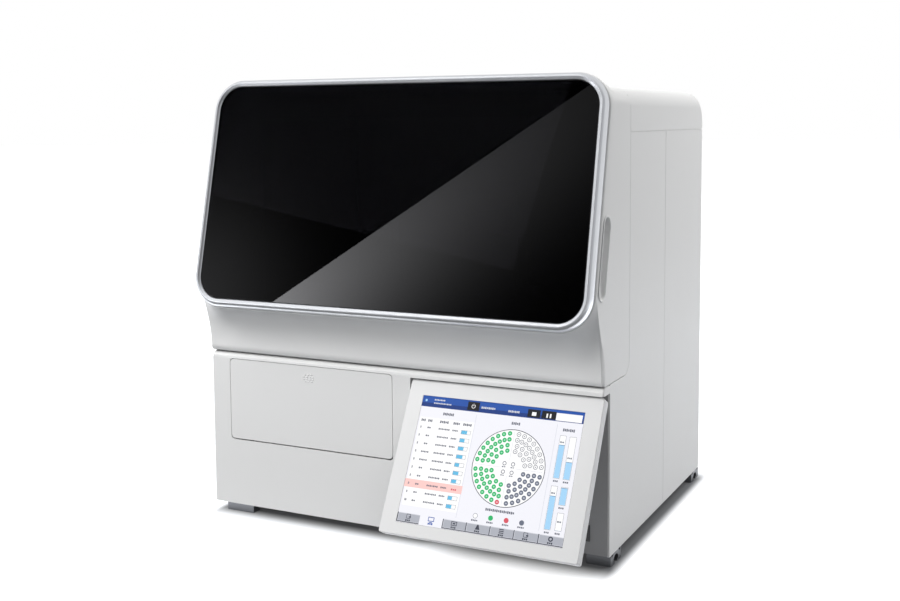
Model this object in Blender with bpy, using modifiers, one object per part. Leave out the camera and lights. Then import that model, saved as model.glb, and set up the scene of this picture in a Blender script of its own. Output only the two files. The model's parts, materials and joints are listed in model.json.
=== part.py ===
"""Immunoassay analyzer: a benchtop body with a lifting hood, a tilting touchscreen, a drop-down
access door and a work deck with a sample carousel, an incubator, a pipettor and a wash station.

Units are metres. +Z is up, -Y is the front and +X is the right side seen from the front. Every
piece hangs on the empty "machine", whose origin is the middle of the fascia plane at the height
of the body's lower edge. The numbers in the shapes below are in that frame.
"""

import math

import bmesh
import bpy
from mathutils import Matrix, Vector

# Fits
TOUCH = 0.0003  # gap between two pieces that touch
SEAM = 0.0012  # visible gap between two covers
RUN = 0.0006  # gap beside a piece that turns or slides
OVERRUN = 0.010  # how far a cutter runs past what it cuts

# Body
BODY_W = 0.650
BODY_D = 0.526
BODY_TOP = 0.646
WALL = 0.003  # moulded covers
CORNER_R = 0.026  # top side edges and upright rear edges
REAR_TOP_R = 0.050
HALF_W = BODY_W / 2

# Feet: four blocks of slotted aluminium extrusion
FOOT_SIZE = 0.045  # of the section
FOOT_LEFT_L = 0.050
FOOT_RIGHT_L = 0.036
FOOT_H = 0.020  # what shows below the body
FOOT_LEFT_IN = 0.009  # from the left side to the front left block
FOOT_LEFT_Y = 0.020
FOOT_RIGHT_Y = 0.043
FOOT_REAR_IN = 0.012  # from the rear to the rear blocks
SLOT_MOUTH = 0.010
SLOT_LIP = 0.003
SLOT_WIDE = 0.020
SLOT_STEP = 0.0075
SLOT_DEEP = 0.012
SLOT_DRAFT = 0.0002  # the slot narrows a little inwards
FOOT_BORE_R = 0.005

# Fascia, the front of the lower body
FASCIA_TOP = 0.2421
LIP_R = 0.010
SIDE_EDGE_R = 0.003

# Recess behind the touchscreen
RECESS_SIDE = 0.0015  # between its side wall and the screen
RECESS_D = 0.027
LEDGE_Z = 0.2305  # underside of the ledge over the screen

# Access door, hinged along its lower edge
DOOR_SIDE = 0.035  # from the left side to the door
DOOR_TO_RECESS = 0.0305
DOOR_Z0 = 0.1056
DOOR_Z1 = 0.2318
DOOR_T = 0.003
DOOR_GAP = 0.0009
DOOR_HINGE_GAP = 0.0021
DOOR_CORNER_R = 0.006
DOOR_AXIS_IN = 0.0055  # behind the door's front face
DOOR_AXIS_UP = 0.0065  # above the door's lower edge
DOOR_PIN_R = 0.0013
DOOR_LUG_R = 0.0028
DOOR_LUG_L = 0.010
DOOR_LUG_IN = 0.024  # from the door's end to its lug
DOOR_BLOCK_L = 0.008
DOOR_BLOCK_EDGE = 0.0016  # of a block, below and in front of its pin's axis
DOOR_BLOCK_UP = 0.0034
DOOR_RAIL_T = 0.0016
DOOR_RAIL_EDGE = 0.0004
CATCH_W = 0.030
CATCH_OVERLAP = 0.004
DOT_R = 0.0012
DOT_H = 0.0005
DOT_PITCH = 0.0055
DOT_ROW_PITCH = 0.0035
DOT_COLUMNS = (3, 4, 4, 3)
DOT_DROP = 0.013  # first row below the door's top edge

# Side panels
HOOD_SEAM_Y = 0.111
PANEL_SEAM_Y = 0.286
TOP_SEAM_Z = 0.584
HOOD_FOOT_R = 0.022  # rear lower corner of the hood
PANEL_RETURN = 0.010

# Lid of the hood: dark pane in a silver frame, leaning forward
LID_LEAN = math.radians(13.2)
LID_Y = -0.0114
LID_Z = 0.4952
PANE_W = 0.6225
PANE_H = 0.330
PANE_R = 0.037
PANE_T = 0.005
FRAME_W = 0.01135
FRAME_CREST_AT = 0.0044
FRAME_CREST = 0.0022
FRAME_BACK = 0.009
FRAME_SHOULDER = 0.0076
FRAME_REBATE = 0.006
PANE_INSET = 0.0003

# Hood shell
HOOD_FLANGE_IN = 0.004
HOOD_LIP_OUT = 0.0105
HOOD_LIP_ROLL = 0.0026
COVE_Y = -0.003  # plane of the cove's lower, upright part
COVE_LOW_Z = 0.2500
COVE_BEND_Z = 0.292
COVE_LEAD = 0.026
CHEEK_LEAD_Y = 0.011
CHEEK_LEAD_Z = 0.050
HOOD_LOW_Z = 0.2433
HOOD_LOW_IN = 0.007  # how far the lower lip turns in
FLARE_LEAD = 0.010
FLARE_END_Y = 0.070

# Grip cups in the hood's cheeks
CUP_Y = 0.0020
CUP_Z = 0.4175
CUP_L = 0.111
CUP_W = 0.024
CUP_DEEP = 0.014
CUP_RIM = 0.0032
CUP_RIM_H = 0.0006
CUP_WALL = 0.0018

# Hood hinges, screwed on top over the seam
HINGE_L = 0.360
HINGE_KNUCKLES = 7
HINGE_LEAF = 0.026
HINGE_T = 0.002
HINGE_R = 0.0032
HINGE_PIN_R = 0.0016
HINGE_BORE_R = 0.0018

# Touchscreen
SCREEN_X1 = HALF_W
SCREEN_W = 0.293
SCREEN_H = 0.221
SCREEN_T = 0.020
SCREEN_TOP_Y = 0.005
SCREEN_TOP_Z = 0.2285
SCREEN_TILT = math.radians(28.5)
SCREEN_AXIS_IN = 0.012
SCREEN_AXIS_DOWN = 0.010
SCREEN_CORNER_R = 0.003
SCREEN_REAR_INSET = 0.0024
DISPLAY_W = 0.246
DISPLAY_H = 0.1815
DISPLAY_LEFT = 0.0235
DISPLAY_TOP = 0.0225
DISPLAY_T = 0.003
BRACKET_AT = 0.080  # from the middle of the screen
BRACKET_W = 0.016
BRACKET_EYE_R = 0.0055
BRACKET_PIN_R = 0.0025
BRACKET_PIN_L = 0.007
BRACKET_ARM = 0.006
BRACKET_PLATE_H = 0.038
BRACKET_PLATE_T = 0.002
SCREEN_FRONT_R = 0.0006

# Power rocker in the recess
ROCKER_X = 0.283
ROCKER_Z = 0.0305
ROCKER_W = 0.022
ROCKER_H = 0.017
ROCKER_BEZEL = 0.003
ROCKER_BEZEL_H = 0.002
ROCKER_DEEP = 0.012
ROCKER_TILT = math.radians(9)
ROCKER_WALL = 0.0015
ROCKER_AXIS_IN = 0.002
ROCKER_FRONT = 0.0055
ROCKER_BACK = 0.004
ROCKER_HALF = 0.0056
ROCKER_PIN_R = 0.0012
ROCKER_PIN_L = 0.001

# Base tray and frame
TRAY_T = 0.002
TRAY_EDGE = 0.018
FRAME_LEG = 0.040
FRONT_LEG_W = 0.0230
DECK_Z = 0.250
DECK_T = 0.006
UPPER_FRAME_Y = 0.114
UPPER_FRAME_D = 0.024
UPPER_FRAME_LEG = 0.022
UPPER_FRAME_BEAM_Z = 0.606
WALL_Y = 0.452
WALL_TOP = 0.600

# Bay and waste bin behind the access door
BAY_IN = 0.0045  # from the door's ends to the bay's
BAY_Y0 = 0.0125
BAY_Y1 = 0.250
BAY_Z0 = 0.1085
BAY_Z1 = 0.2300
BAY_WALL = 0.0015
RIB_W = 0.012
RIB_IN = 0.0455
RIB_PITCH = 0.120
RIB_END = 0.030
CHUTE_IN = 0.0315
CHUTE_Y = 0.056
CHUTE_R = 0.014
BIN_SIDE = 0.010
BIN_FRONT = 0.006
BIN_H = 0.100
BIN_WALL = 0.0025
BIN_TAPER = 0.008
BIN_GRIP_W = 0.090
BIN_GRIP_H = 0.016

# Carousel: turntable with four lift-out reagent kits
CAROUSEL_X = -0.150
CAROUSEL_Y = 0.188
CAROUSEL_R = 0.148
CAROUSEL_HUB_R = 0.034
CAROUSEL_BASE_H = 0.018
TABLE_T = 0.005
KIT_R0 = 0.040
KIT_H = 0.040
KIT_GAP = 0.004
KIT_EDGE = 0.004  # from the kit to the table's rim
KIT_RINGS = ((0.060, 2), (0.091, 3), (0.123, 4))  # radius and wells in a quarter
KIT_NECK_R = 0.0075
KIT_NECK_H = 0.003
KIT_CAP_R = 0.0095
KIT_CAP_H = 0.010
SPINDLE_R = 0.008
SPINDLE_H = 0.020
HUB_H = 0.040
KNOB_R = 0.014
KNOB_H = 0.030
KNOB_STEM_R = 0.007

# Incubator: a heated housing with a turning cuvette rotor
INCUBATOR_X = 0.170
INCUBATOR_Y = 0.262
INCUBATOR_R = 0.098
INCUBATOR_H = 0.052
INCUBATOR_WALL = 0.010
INCUBATOR_FLOOR = 0.008
ROTOR_R = 0.084
ROTOR_T = 0.028
WELL_RING_R = 0.068
WELL_R = 0.006
WELL_COUNT = 16
INCUBATOR_LID_T = 0.004
PORT_R = 0.007

# Reader beside the incubator
READER_W = 0.052
READER_D = 0.070
READER_H = 0.075
READER_TUBE_R = 0.018
READER_TUBE_L = 0.060

# Pipettor
PIPETTOR_X = 0.035
PIPETTOR_Y = 0.348
PIPETTOR_BASE = 0.060
PIPETTOR_BASE_H = 0.150
SHAFT_R = 0.009
SHAFT_RISE = 0.040
SHAFT_IN = 0.110
PIPETTOR_LIFT = 0.030
COLLAR_R = 0.015
COLLAR_H = 0.010
ARM_L = 0.170
ARM_W = 0.034
ARM_H = 0.026
ARM_TIP_R = 0.013
PROBE_R = 0.0012
PROBE_BODY_R = 0.006
PROBE_BODY_L = 0.020
PROBE_L = 0.105
DISH_R = 0.014
DISH_H = 0.065
DISH_BORE_R = 0.008
DISH_FLOOR = 0.006

# Wash station
WASH_ANGLE = math.radians(45)
WASH_TOWER_W = 0.036
WASH_TOWER_D = 0.030
WASH_TOWER_H = 0.150
WASH_RAIL_W = 0.012
WASH_RAIL_T = 0.006
WASH_HEAD_H = 0.024
WASH_HEAD_Z = 0.345
WASH_PROBE_R = 0.0014
WASH_PROBE_L = 0.022
WASH_AT = 0.128  # from the incubator's middle to the tower's
WASH_HEAD_W = 0.022
WASH_NOSE = 0.010
WASH_PITCH = 0.005

# Bulk bottles
BOTTLE_X = (0.188, 0.258)
BOTTLE_Y = 0.092
BOTTLE_R = 0.029
BOTTLE_H = 0.085
BOTTLE_NECK_R = 0.013
BOTTLE_CAP_R = 0.016
BOTTLE_CAP_H = 0.016
HOLDER_H = 0.022
HOLDER_EDGE = 0.006

# Syringe pump
PUMP_X = -0.262
PUMP_W = 0.056
PUMP_D = 0.030
PUMP_H = 0.160
PUMP_BARREL_R = 0.008
PUMP_BARREL_L = 0.060
PUMP_PLUNGER_R = 0.0045
PUMP_AXIS_OUT = 0.014  # plunger axis in front of the pump's face
PUMP_GROOVE_W = 0.012
PUMP_GROOVE_D = 0.008
PUMP_GROOVE_Z0 = 0.012
PUMP_GROOVE_Z1 = 0.078
PUMP_CARRIAGE_H = 0.010
PUMP_CARRIAGE_UP = 0.020
PUMP_PLUNGER_L = 0.075
PUMP_BARREL_UP = 0.085
PUMP_BORE_R = 0.0055
PUMP_CLAMP_H = 0.012
PUMP_CLAMP_W = 0.026

# Rear side
REAR_PANEL_T = 0.002
REAR_PANEL_IN = 0.003
FAN_X = 0.175
FAN_Z = 0.430
FAN_SIZE = 0.120
FAN_BORE_R = 0.056
FAN_T = 0.025
FAN_CORNER_R = 0.008
FAN_STRUT_W = 0.006
FAN_STRUT_T = 0.003
FAN_PIN_R = 0.003
FAN_ROTOR_T = 0.017
FAN_BLADE_R = 0.0535
FAN_BLADE_W = 0.018
FAN_PITCH = math.radians(40)
FAN_HUB_R = 0.020
FAN_BLADES = 7
FAN_BLADE_T = 0.0018
GUARD_WIRE = 0.0022
GUARD_RINGS = (0.018, 0.031, 0.044, 0.057)
VENT_X = -0.160
VENT_Z = 0.400
VENT_W = 0.150
VENT_SLOT = 0.005
VENT_PITCH = 0.012
VENT_COUNT = 10
INLET_X = 0.235
INLET_Z = 0.090
INLET_W = 0.048
INLET_H = 0.028
INLET_FLANGE = 0.004
INLET_FLANGE_T = 0.003
INLET_DEEP = 0.020
INLET_WALL = 0.0025
INLET_PIN_W = 0.002
INLET_PIN_H = 0.005
INLET_PIN_L = 0.012
INLET_PIN_PITCH = 0.012
PORT_BLOCK_X = 0.120
PORT_BLOCK_Z = 0.090
PORT_BLOCK_W = 0.060
PORT_BLOCK_H = 0.022
PORT_BLOCK_T = 0.012
JACK_W = 0.014
JACK_H = 0.012
JACK_DEEP = 0.009
JACK_PITCH = 0.019
JACK_COUNT = 3
FITTING_X = -0.230
FITTING_Z = 0.085
FITTING_PITCH = 0.040
FITTING_COUNT = 4
FITTING_R = 0.008
FITTING_BARB_R = 0.0045
FITTING_L = 0.016
FITTING_BORE_R = 0.0025
FITTING_NUT_T = 0.004
FITTING_RIDGE = 0.0008

# Electronics under the deck
SUPPLY_X0 = 0.060
SUPPLY_X1 = 0.240
SUPPLY_Y0 = 0.300
SUPPLY_Y1 = 0.420
SUPPLY_H = 0.050
BOARD_X0 = 0.070
BOARD_X1 = 0.270
BOARD_Y0 = 0.080
BOARD_Y1 = 0.240
BOARD_T = 0.0016
STANDOFF_H = 0.012
STANDOFF_R = 0.004
STANDOFF_IN = 0.010
HEATSINK_W = 0.040
HEATSINK_H = 0.018
HEATSINK_FINS = 5
CHIP_W = 0.028
CHIP_H = 0.004
SUPPLY_SLOT_W = 0.004
SUPPLY_SLOTS = 9
SUPPLY_SLOT_DEEP = 0.006
SUPPLY_SLOT_END = 0.014
FIN_T = 0.002
HEATSINK_BASE_H = 0.004
CONNECTOR_W = 0.060
CONNECTOR_D = 0.010
CONNECTOR_H = 0.010

# Places across the front that follow from the body's and the screen's width
FOOT_LEFT_X = FOOT_LEFT_IN - HALF_W
RECESS_X = SCREEN_X1 - SCREEN_W - RECESS_SIDE
DOOR_X0 = DOOR_SIDE - HALF_W
DOOR_X1 = RECESS_X - DOOR_TO_RECESS
BAY_X0 = DOOR_X0 + BAY_IN
BAY_X1 = DOOR_X1 - BAY_IN
RIB_X = (BAY_X0 + RIB_IN, BAY_X0 + RIB_IN + RIB_PITCH)
CHUTE_X = BAY_X1 - CHUTE_IN

# Where the fascia plane and the body's lower edge lie, so that the object's box stands on its middle
SCREEN_EDGE_CUT = math.cos(SCREEN_TILT) + math.sin(SCREEN_TILT) - math.cos(math.pi / 4 - SCREEN_TILT)
SCREEN_FOOT_Y = SCREEN_TOP_Y - SCREEN_H * math.sin(SCREEN_TILT) + SCREEN_FRONT_R * SCREEN_EDGE_CUT
REAR_REACH = BODY_D + FITTING_L - REAR_PANEL_IN
FRONT_Y = -(SCREEN_FOOT_Y + REAR_REACH) / 2

FINISHES = {
    "housing_white": ((0.78, 0.78, 0.77), 0.42, 0.0),
    "satin_silver": ((0.72, 0.73, 0.75), 0.24, 1.0),
    "smoked_pane": ((0.012, 0.012, 0.014), 0.05, 0.0),
    "recess_grey": ((0.20, 0.20, 0.21), 0.50, 0.0),
    "screen_white": ((0.82, 0.82, 0.82), 0.38, 0.0),
    "display_glass": ((0.84, 0.85, 0.90), 0.12, 0.0),
    "slotted_aluminium": ((0.42, 0.43, 0.45), 0.38, 1.0),
    "sheet_steel": ((0.55, 0.56, 0.58), 0.42, 0.8),
    "deck_grey": ((0.62, 0.64, 0.66), 0.45, 0.0),
    "black_plastic": ((0.025, 0.025, 0.027), 0.45, 0.0),
    "rack_blue": ((0.10, 0.22, 0.42), 0.45, 0.0),
    "anodised_dark": ((0.16, 0.17, 0.19), 0.35, 1.0),
    "bright_steel": ((0.75, 0.76, 0.77), 0.22, 1.0),
    "bottle_white": ((0.80, 0.81, 0.78), 0.35, 0.0),
    "board_green": ((0.03, 0.20, 0.09), 0.40, 0.0),
    "bin_grey": ((0.36, 0.38, 0.40), 0.50, 0.0),
}


def clear_scene():
    for obj in list(bpy.data.objects):
        bpy.data.objects.remove(obj, do_unlink=True)


def new_collection(name):
    collection = bpy.data.collections.new(name)
    bpy.context.scene.collection.children.link(collection)
    return collection


clear_scene()
PARTS = new_collection("immunoassay_analyzer")
CUTTERS = new_collection("cutters")
MACHINE = bpy.data.objects.new("machine", None)
MACHINE.location = (0, FRONT_Y, FOOT_H)
PARTS.objects.link(MACHINE)


def empty(name, at, tilt=0.0):
    """An empty on a joint's axis, turned about X by tilt."""
    made = bpy.data.objects.new(name, None)
    made.location = at
    made.rotation_euler = (tilt, 0, 0)
    made.parent = MACHINE
    PARTS.objects.link(made)
    return made


def finish(name):
    found = bpy.data.materials.get(name)
    if found:
        return found
    colour, roughness, metallic = FINISHES[name]
    made = bpy.data.materials.new(name)
    made.use_nodes = True
    shader = made.node_tree.nodes["Principled BSDF"]
    shader.inputs["Base Color"].default_value = (*colour, 1)
    shader.inputs["Roughness"].default_value = roughness
    shader.inputs["Metallic"].default_value = metallic
    made.diffuse_color = (*colour, 1)
    return made


def piece(name, mesh, finish_name, pivot=None, parent=None):
    """A sub-part. A pivot moves its origin there, and a parent empty is on its joint's axis."""
    obj = bpy.data.objects.new(name, mesh)
    mesh.name = name
    mesh.materials.append(finish(finish_name))
    if pivot:
        mesh.transform(Matrix.Translation(-Vector(pivot)))
        obj.location = pivot
    obj.parent = parent or MACHINE
    PARTS.objects.link(obj)
    return obj


def cutter(name, mesh, parent=None):
    obj = bpy.data.objects.new(name, mesh)
    mesh.name = name
    obj.parent = parent or MACHINE
    obj.hide_render = True
    obj.display_type = "WIRE"
    CUTTERS.objects.link(obj)
    return obj


def combine(obj, other, operation):
    """An exact Boolean of a piece with a tool, which stays hidden in the cutters' collection."""
    modifier = obj.modifiers.new(other.name, "BOOLEAN")
    modifier.operation = operation
    modifier.solver = "EXACT"
    modifier.object = other


def cut(obj, name, mesh):
    combine(obj, cutter(name, mesh, obj.parent), "DIFFERENCE")


def unite(obj, name, mesh):
    combine(obj, cutter(name, mesh, obj.parent), "UNION")


def smooth(obj, degrees=35):
    obj.data.shade_smooth()
    obj.data.set_sharp_from_angle(angle=math.radians(degrees))


def mesh_from(bm):
    """A mesh with its faces turned outwards."""
    bmesh.ops.recalc_face_normals(bm, faces=bm.faces)
    mesh = bpy.data.meshes.new("mesh")
    bm.to_mesh(mesh)
    bm.free()
    return mesh


def box(x0, x1, y0, y1, z0, z1):
    bm = bmesh.new()
    bmesh.ops.create_cube(bm, size=1)
    scale = Matrix.Diagonal((x1 - x0, y1 - y0, z1 - z0, 1))
    middle = Vector(((x0 + x1) / 2, (y0 + y1) / 2, (z0 + z1) / 2))
    bmesh.ops.transform(bm, matrix=Matrix.Translation(middle) @ scale, verts=bm.verts)
    return mesh_from(bm)


def joined(meshes):
    bm = bmesh.new()
    for mesh in meshes:
        bm.from_mesh(mesh)
        bpy.data.meshes.remove(mesh)
    return mesh_from(bm)


def evaluated(obj):
    """The evaluated mesh of a scratch object, which is removed."""
    bpy.context.scene.collection.objects.link(obj)
    bpy.context.view_layer.update()
    mesh = bpy.data.meshes.new_from_object(obj.evaluated_get(bpy.context.evaluated_depsgraph_get()))
    bpy.data.objects.remove(obj, do_unlink=True)
    bm = bmesh.new()
    bm.from_mesh(mesh)
    bpy.data.meshes.remove(mesh)
    bmesh.ops.remove_doubles(bm, verts=bm.verts, dist=MERGE)
    return mesh_from(bm)


MERGE = 0.000005
SLAB_AXES = {
    "X": Matrix(((0, 0, 1, 0), (1, 0, 0, 0), (0, 1, 0, 0), (0, 0, 0, 1))),
    "Y": Matrix(((1, 0, 0, 0), (0, 0, -1, 0), (0, 1, 0, 0), (0, 0, 0, 1))),
    "Z": Matrix.Identity(4),
}


def slab(outlines, axis, low, high):
    """Flat outlines, the inner ones holes, as a plate from low to high along an axis.

    The outlines are (y, z) along X, (x, z) along Y and (x, y) along Z.
    """
    curve = bpy.data.curves.new("outline", "CURVE")
    curve.dimensions = "2D"
    curve.fill_mode = "BOTH"
    curve.extrude = (high - low) / 2
    for outline in outlines:
        spline = curve.splines.new("POLY")
        spline.points.add(len(outline) - 1)
        for point, (a, b) in zip(spline.points, outline):
            point.co = (a, b, 0, 1)
        spline.use_cyclic_u = True
    mesh = evaluated(bpy.data.objects.new("outline", curve))
    bpy.data.curves.remove(curve)
    middle = (low + high) / 2
    shift = {"X": (middle, 0, 0), "Y": (0, middle, 0), "Z": (0, 0, middle)}[axis]
    mesh.transform(Matrix.Translation(shift) @ SLAB_AXES[axis])
    return mesh


def turned(profile, at, axis="Z", sides=24, tilt=0.0):
    """A profile of (radius, height) points from top to bottom, turned about an axis through at."""
    mesh = bpy.data.meshes.new("profile")
    points = [(radius, 0, height) for radius, height in profile]
    mesh.from_pydata(points, [(i, i + 1) for i in range(len(points) - 1)], [])
    obj = bpy.data.objects.new("profile", mesh)
    screw = obj.modifiers.new("turn", "SCREW")
    screw.steps = screw.render_steps = sides
    screw.use_merge_vertices = True
    screw.merge_threshold = MERGE
    made = evaluated(obj)
    bpy.data.meshes.remove(mesh)
    turn = {"X": Matrix.Rotation(math.pi / 2, 4, "Y"), "Y": Matrix.Rotation(-math.pi / 2, 4, "X")}
    spin = Matrix.Rotation(tilt, 4, "Z")
    made.transform(Matrix.Translation(at) @ turn.get(axis, Matrix.Identity(4)) @ spin)
    return made


def rod(radius, at, axis, low, high, sides=12):
    """A plain cylinder from low to high along an axis through at."""
    return turned([(0, high), (radius, high), (radius, low), (0, low)], at, axis, sides)


def arc(centre, radius, start, end, steps):
    """Points on an arc, with both ends, angles in degrees."""
    angles = [math.radians(start + (end - start) * i / steps) for i in range(steps + 1)]
    return [(centre[0] + radius * math.cos(a), centre[1] + radius * math.sin(a)) for a in angles]


def circle(centre, radius, sides):
    return arc(centre, radius, 0, 360 - 360 / sides, sides - 1)


def rectangle(x0, x1, y0, y1):
    return [(x0, y0), (x1, y0), (x1, y1), (x0, y1)]


def rounded(x0, x1, y0, y1, radius, steps=4):
    """A rectangle with round corners."""
    return (
        arc((x1 - radius, y0 + radius), radius, -90, 0, steps)
        + arc((x1 - radius, y1 - radius), radius, 0, 90, steps)
        + arc((x0 + radius, y1 - radius), radius, 90, 180, steps)
        + arc((x0 + radius, y0 + radius), radius, 180, 270, steps)
    )


def stadium(centre, length, width, lean, steps=6):
    """A slot outline with round ends, its long axis leaning from the second axis to the first."""
    half = (length - width) / 2
    up = (math.sin(lean) * half, math.cos(lean) * half)
    turn = -math.degrees(lean)
    top = arc((centre[0] + up[0], centre[1] + up[1]), width / 2, turn, turn + 180, steps)
    foot = arc((centre[0] - up[0], centre[1] - up[1]), width / 2, turn + 180, turn + 360, steps)
    return top + foot


def mirrored(outline):
    return [(-x, y) for x, y in reversed(outline)]


# Feet and frame


def slotted_outline(y0, z0):
    """Section of slotted extrusion with its lower rear corner at y0, z0."""
    half, mouth, wide = FOOT_SIZE / 2, SLOT_MOUTH / 2, SLOT_WIDE / 2
    side = [
        (half, -half),
        (half, -mouth),
        (half - SLOT_LIP, SLOT_DRAFT - mouth),
        (half - SLOT_LIP, -wide),
        (half - SLOT_STEP, SLOT_DRAFT - wide),
        (half - SLOT_DEEP, 2 * SLOT_DRAFT - mouth),
        (half - SLOT_DEEP, mouth - 2 * SLOT_DRAFT),
        (half - SLOT_STEP, wide - SLOT_DRAFT),
        (half - SLOT_LIP, wide),
        (half - SLOT_LIP, mouth - SLOT_DRAFT),
        (half, mouth),
    ]
    points = []
    for quarter in range(4):
        c, s = round(math.cos(quarter * math.pi / 2)), round(math.sin(quarter * math.pi / 2))
        points += [(y0 + half + c * a - s * b, z0 + half + s * a + c * b) for a, b in side]
    return points


INNER_X = HALF_W - WALL - TOUCH  # outermost place inside the side panels
FOOT_REAR_Y = BODY_D - FOOT_REAR_IN - FOOT_SIZE
FOOT_PLACES = (
    (FOOT_LEFT_X, FOOT_LEFT_X + FOOT_LEFT_L, FOOT_LEFT_Y),
    (INNER_X - FOOT_RIGHT_L, INNER_X, FOOT_RIGHT_Y),
    (-INNER_X, FOOT_SIZE - INNER_X, FOOT_REAR_Y),
    (INNER_X - FOOT_SIZE, INNER_X, FOOT_REAR_Y),
)
FOOT_TOP = FOOT_SIZE - FOOT_H
TRAY_FRONT = RECESS_D + WALL + TOUCH
TRAY_REAR = BODY_D - WALL - TOUCH
TRAY_CHAMFER = CORNER_R - WALL


def foot_holes(clearance):
    """Boxes round the foot blocks, for the plates that they pass through."""
    boxes = []
    for x0, x1, y in FOOT_PLACES:
        ends = (x0 - clearance, x1 + clearance, y - clearance, y + FOOT_SIZE + clearance)
        boxes.append(box(*ends, -FOOT_SIZE, FOOT_TOP))
    return joined(boxes)


def make_feet():
    """Four blocks; the rear two lose a corner where they stand inside the rounded side panels."""
    names = ("front_left", "front_right", "rear_left", "rear_right")
    for name, (x0, x1, y) in zip(names, FOOT_PLACES):
        centre = (y + FOOT_SIZE / 2, FOOT_SIZE / 2 - FOOT_H)
        outlines = [slotted_outline(y, -FOOT_H), circle(centre, FOOT_BORE_R, 8)]
        foot = piece(f"foot_{name}", slab(outlines, "X", x0, x1), "slotted_aluminium")
        if y == FOOT_REAR_Y:
            x, y = INNER_X + OVERRUN, TRAY_REAR + OVERRUN
            leg = TRAY_CHAMFER + 2 * OVERRUN
            corner = [(x - leg, y), (x, y - leg), (x, y)]
            corner = corner if x0 > 0 else mirrored(corner)
            cut(foot, f"foot_corner_{name}", slab([corner], "Z", -TOUCH, FOOT_TOP + OVERRUN))


def tray_outline(inset):
    x, y0, y1, c = INNER_X - inset, TRAY_FRONT + inset, TRAY_REAR - inset, TRAY_CHAMFER
    return [(-x, y0), (x, y0), (x, y1 - c), (x - c, y1), (-x + c, y1), (-x, y1 - c)]


def make_tray():
    tray = piece("base_tray", slab([tray_outline(0)], "Z", 0, TRAY_EDGE), "sheet_steel")
    hollow = slab([tray_outline(TRAY_T)], "Z", TRAY_T, TRAY_EDGE + OVERRUN)
    cut(tray, "tray_hollow", hollow)
    cut(tray, "tray_foot_holes", foot_holes(TOUCH))


DECK_LOW = DECK_Z
DECK_TOP = DECK_Z + DECK_T
LEG_LOW = FOOT_TOP + TOUCH
FRAME_INSET = (FOOT_SIZE - FRAME_LEG) / 2
REAR_LEG_Y = TRAY_REAR - TRAY_CHAMFER - FRAME_LEG - FRAME_INSET


def make_lower_frame():
    """Welded frame: an arch at the rear and a leg on each front foot, tied by rails under the deck."""
    x, leg, low, top = INNER_X - TRAY_T, FRAME_LEG, LEG_LOW, WALL_TOP
    arch = [(-x, low), (leg - x, low), (leg - x, top - leg), (x - leg, top - leg)]
    arch += [(x - leg, low), (x, low), (x, top), (-x, top)]
    arch = slab([arch], "Y", REAR_LEG_Y, REAR_LEG_Y + FRAME_LEG)
    frame = piece("lower_frame", arch, "slotted_aluminium")
    sides = []
    for x, y in ((FOOT_LEFT_X, FOOT_LEFT_Y), (INNER_X - FRONT_LEG_W - TRAY_T, FOOT_RIGHT_Y)):
        y0, y1 = max(y + FRAME_INSET, RECESS_D + TOUCH), y + FRAME_INSET + FRAME_LEG
        rail_low, top, rear = DECK_LOW - TOUCH - FRONT_LEG_W, DECK_LOW - TOUCH, REAR_LEG_Y + TRAY_T
        outline = [(y0, low), (y1, low), (y1, rail_low), (rear, rail_low), (rear, top), (y0, top)]
        sides.append(slab([outline], "X", x, x + FRONT_LEG_W))
    unite(frame, "frame_sides", joined(sides))


def make_upper_frame():
    x, leg, low, top = INNER_X, UPPER_FRAME_LEG, DECK_TOP + TOUCH, BODY_TOP - CORNER_R - WALL
    head, beam = BODY_TOP - WALL - TOUCH, UPPER_FRAME_BEAM_Z
    arch = [(-x, low), (leg - x, low), (leg - x, beam), (x - leg, beam), (x - leg, low), (x, low)]
    arch += [(x, top), (x - CORNER_R, head), (CORNER_R - x, head), (-x, top)]
    frame = slab([arch], "Y", UPPER_FRAME_Y, UPPER_FRAME_Y + UPPER_FRAME_D)
    piece("upper_frame", frame, "slotted_aluminium")


def make_deck():
    """Deck plate with the wall that closes the work space at the back."""
    x, front, rear = INNER_X, RECESS_D + WALL + TOUCH, REAR_LEG_Y - TOUCH
    chute = circle((CHUTE_X, CHUTE_Y), CHUTE_R + BAY_WALL + TOUCH, 12)
    deck = slab([rectangle(-x, x, front, rear), chute], "Z", DECK_LOW, DECK_TOP)
    deck = piece("deck_plate", deck, "deck_grey")
    back_wall = box(-x, x, WALL_Y, WALL_Y + TRAY_T, DECK_TOP - TRAY_T, WALL_TOP)
    unite(deck, "deck_back_wall", back_wall)


# Housing


FLAT = math.radians(5)


def chosen_bevel(bm, wanted, radius, steps):
    bm.normal_update()
    edges = [e for e in bm.edges if wanted(e) and e.calc_face_angle(0) > FLAT]
    bmesh.ops.bevel(
        bm, geom=edges, offset=radius, segments=steps, profile=0.5, affect="EDGES", clamp_overlap=False
    )


def along(edge, axis):
    """True if an edge lies along an axis, 0 for X, 1 for Y and 2 for Z."""
    a, b = (vert.co for vert in edge.verts)
    return all(abs(a[i] - b[i]) < MERGE for i in range(3) if i != axis)


def both(edge, axis, value):
    return all(abs(vert.co[axis] - value) < MERGE for vert in edge.verts)


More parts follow.
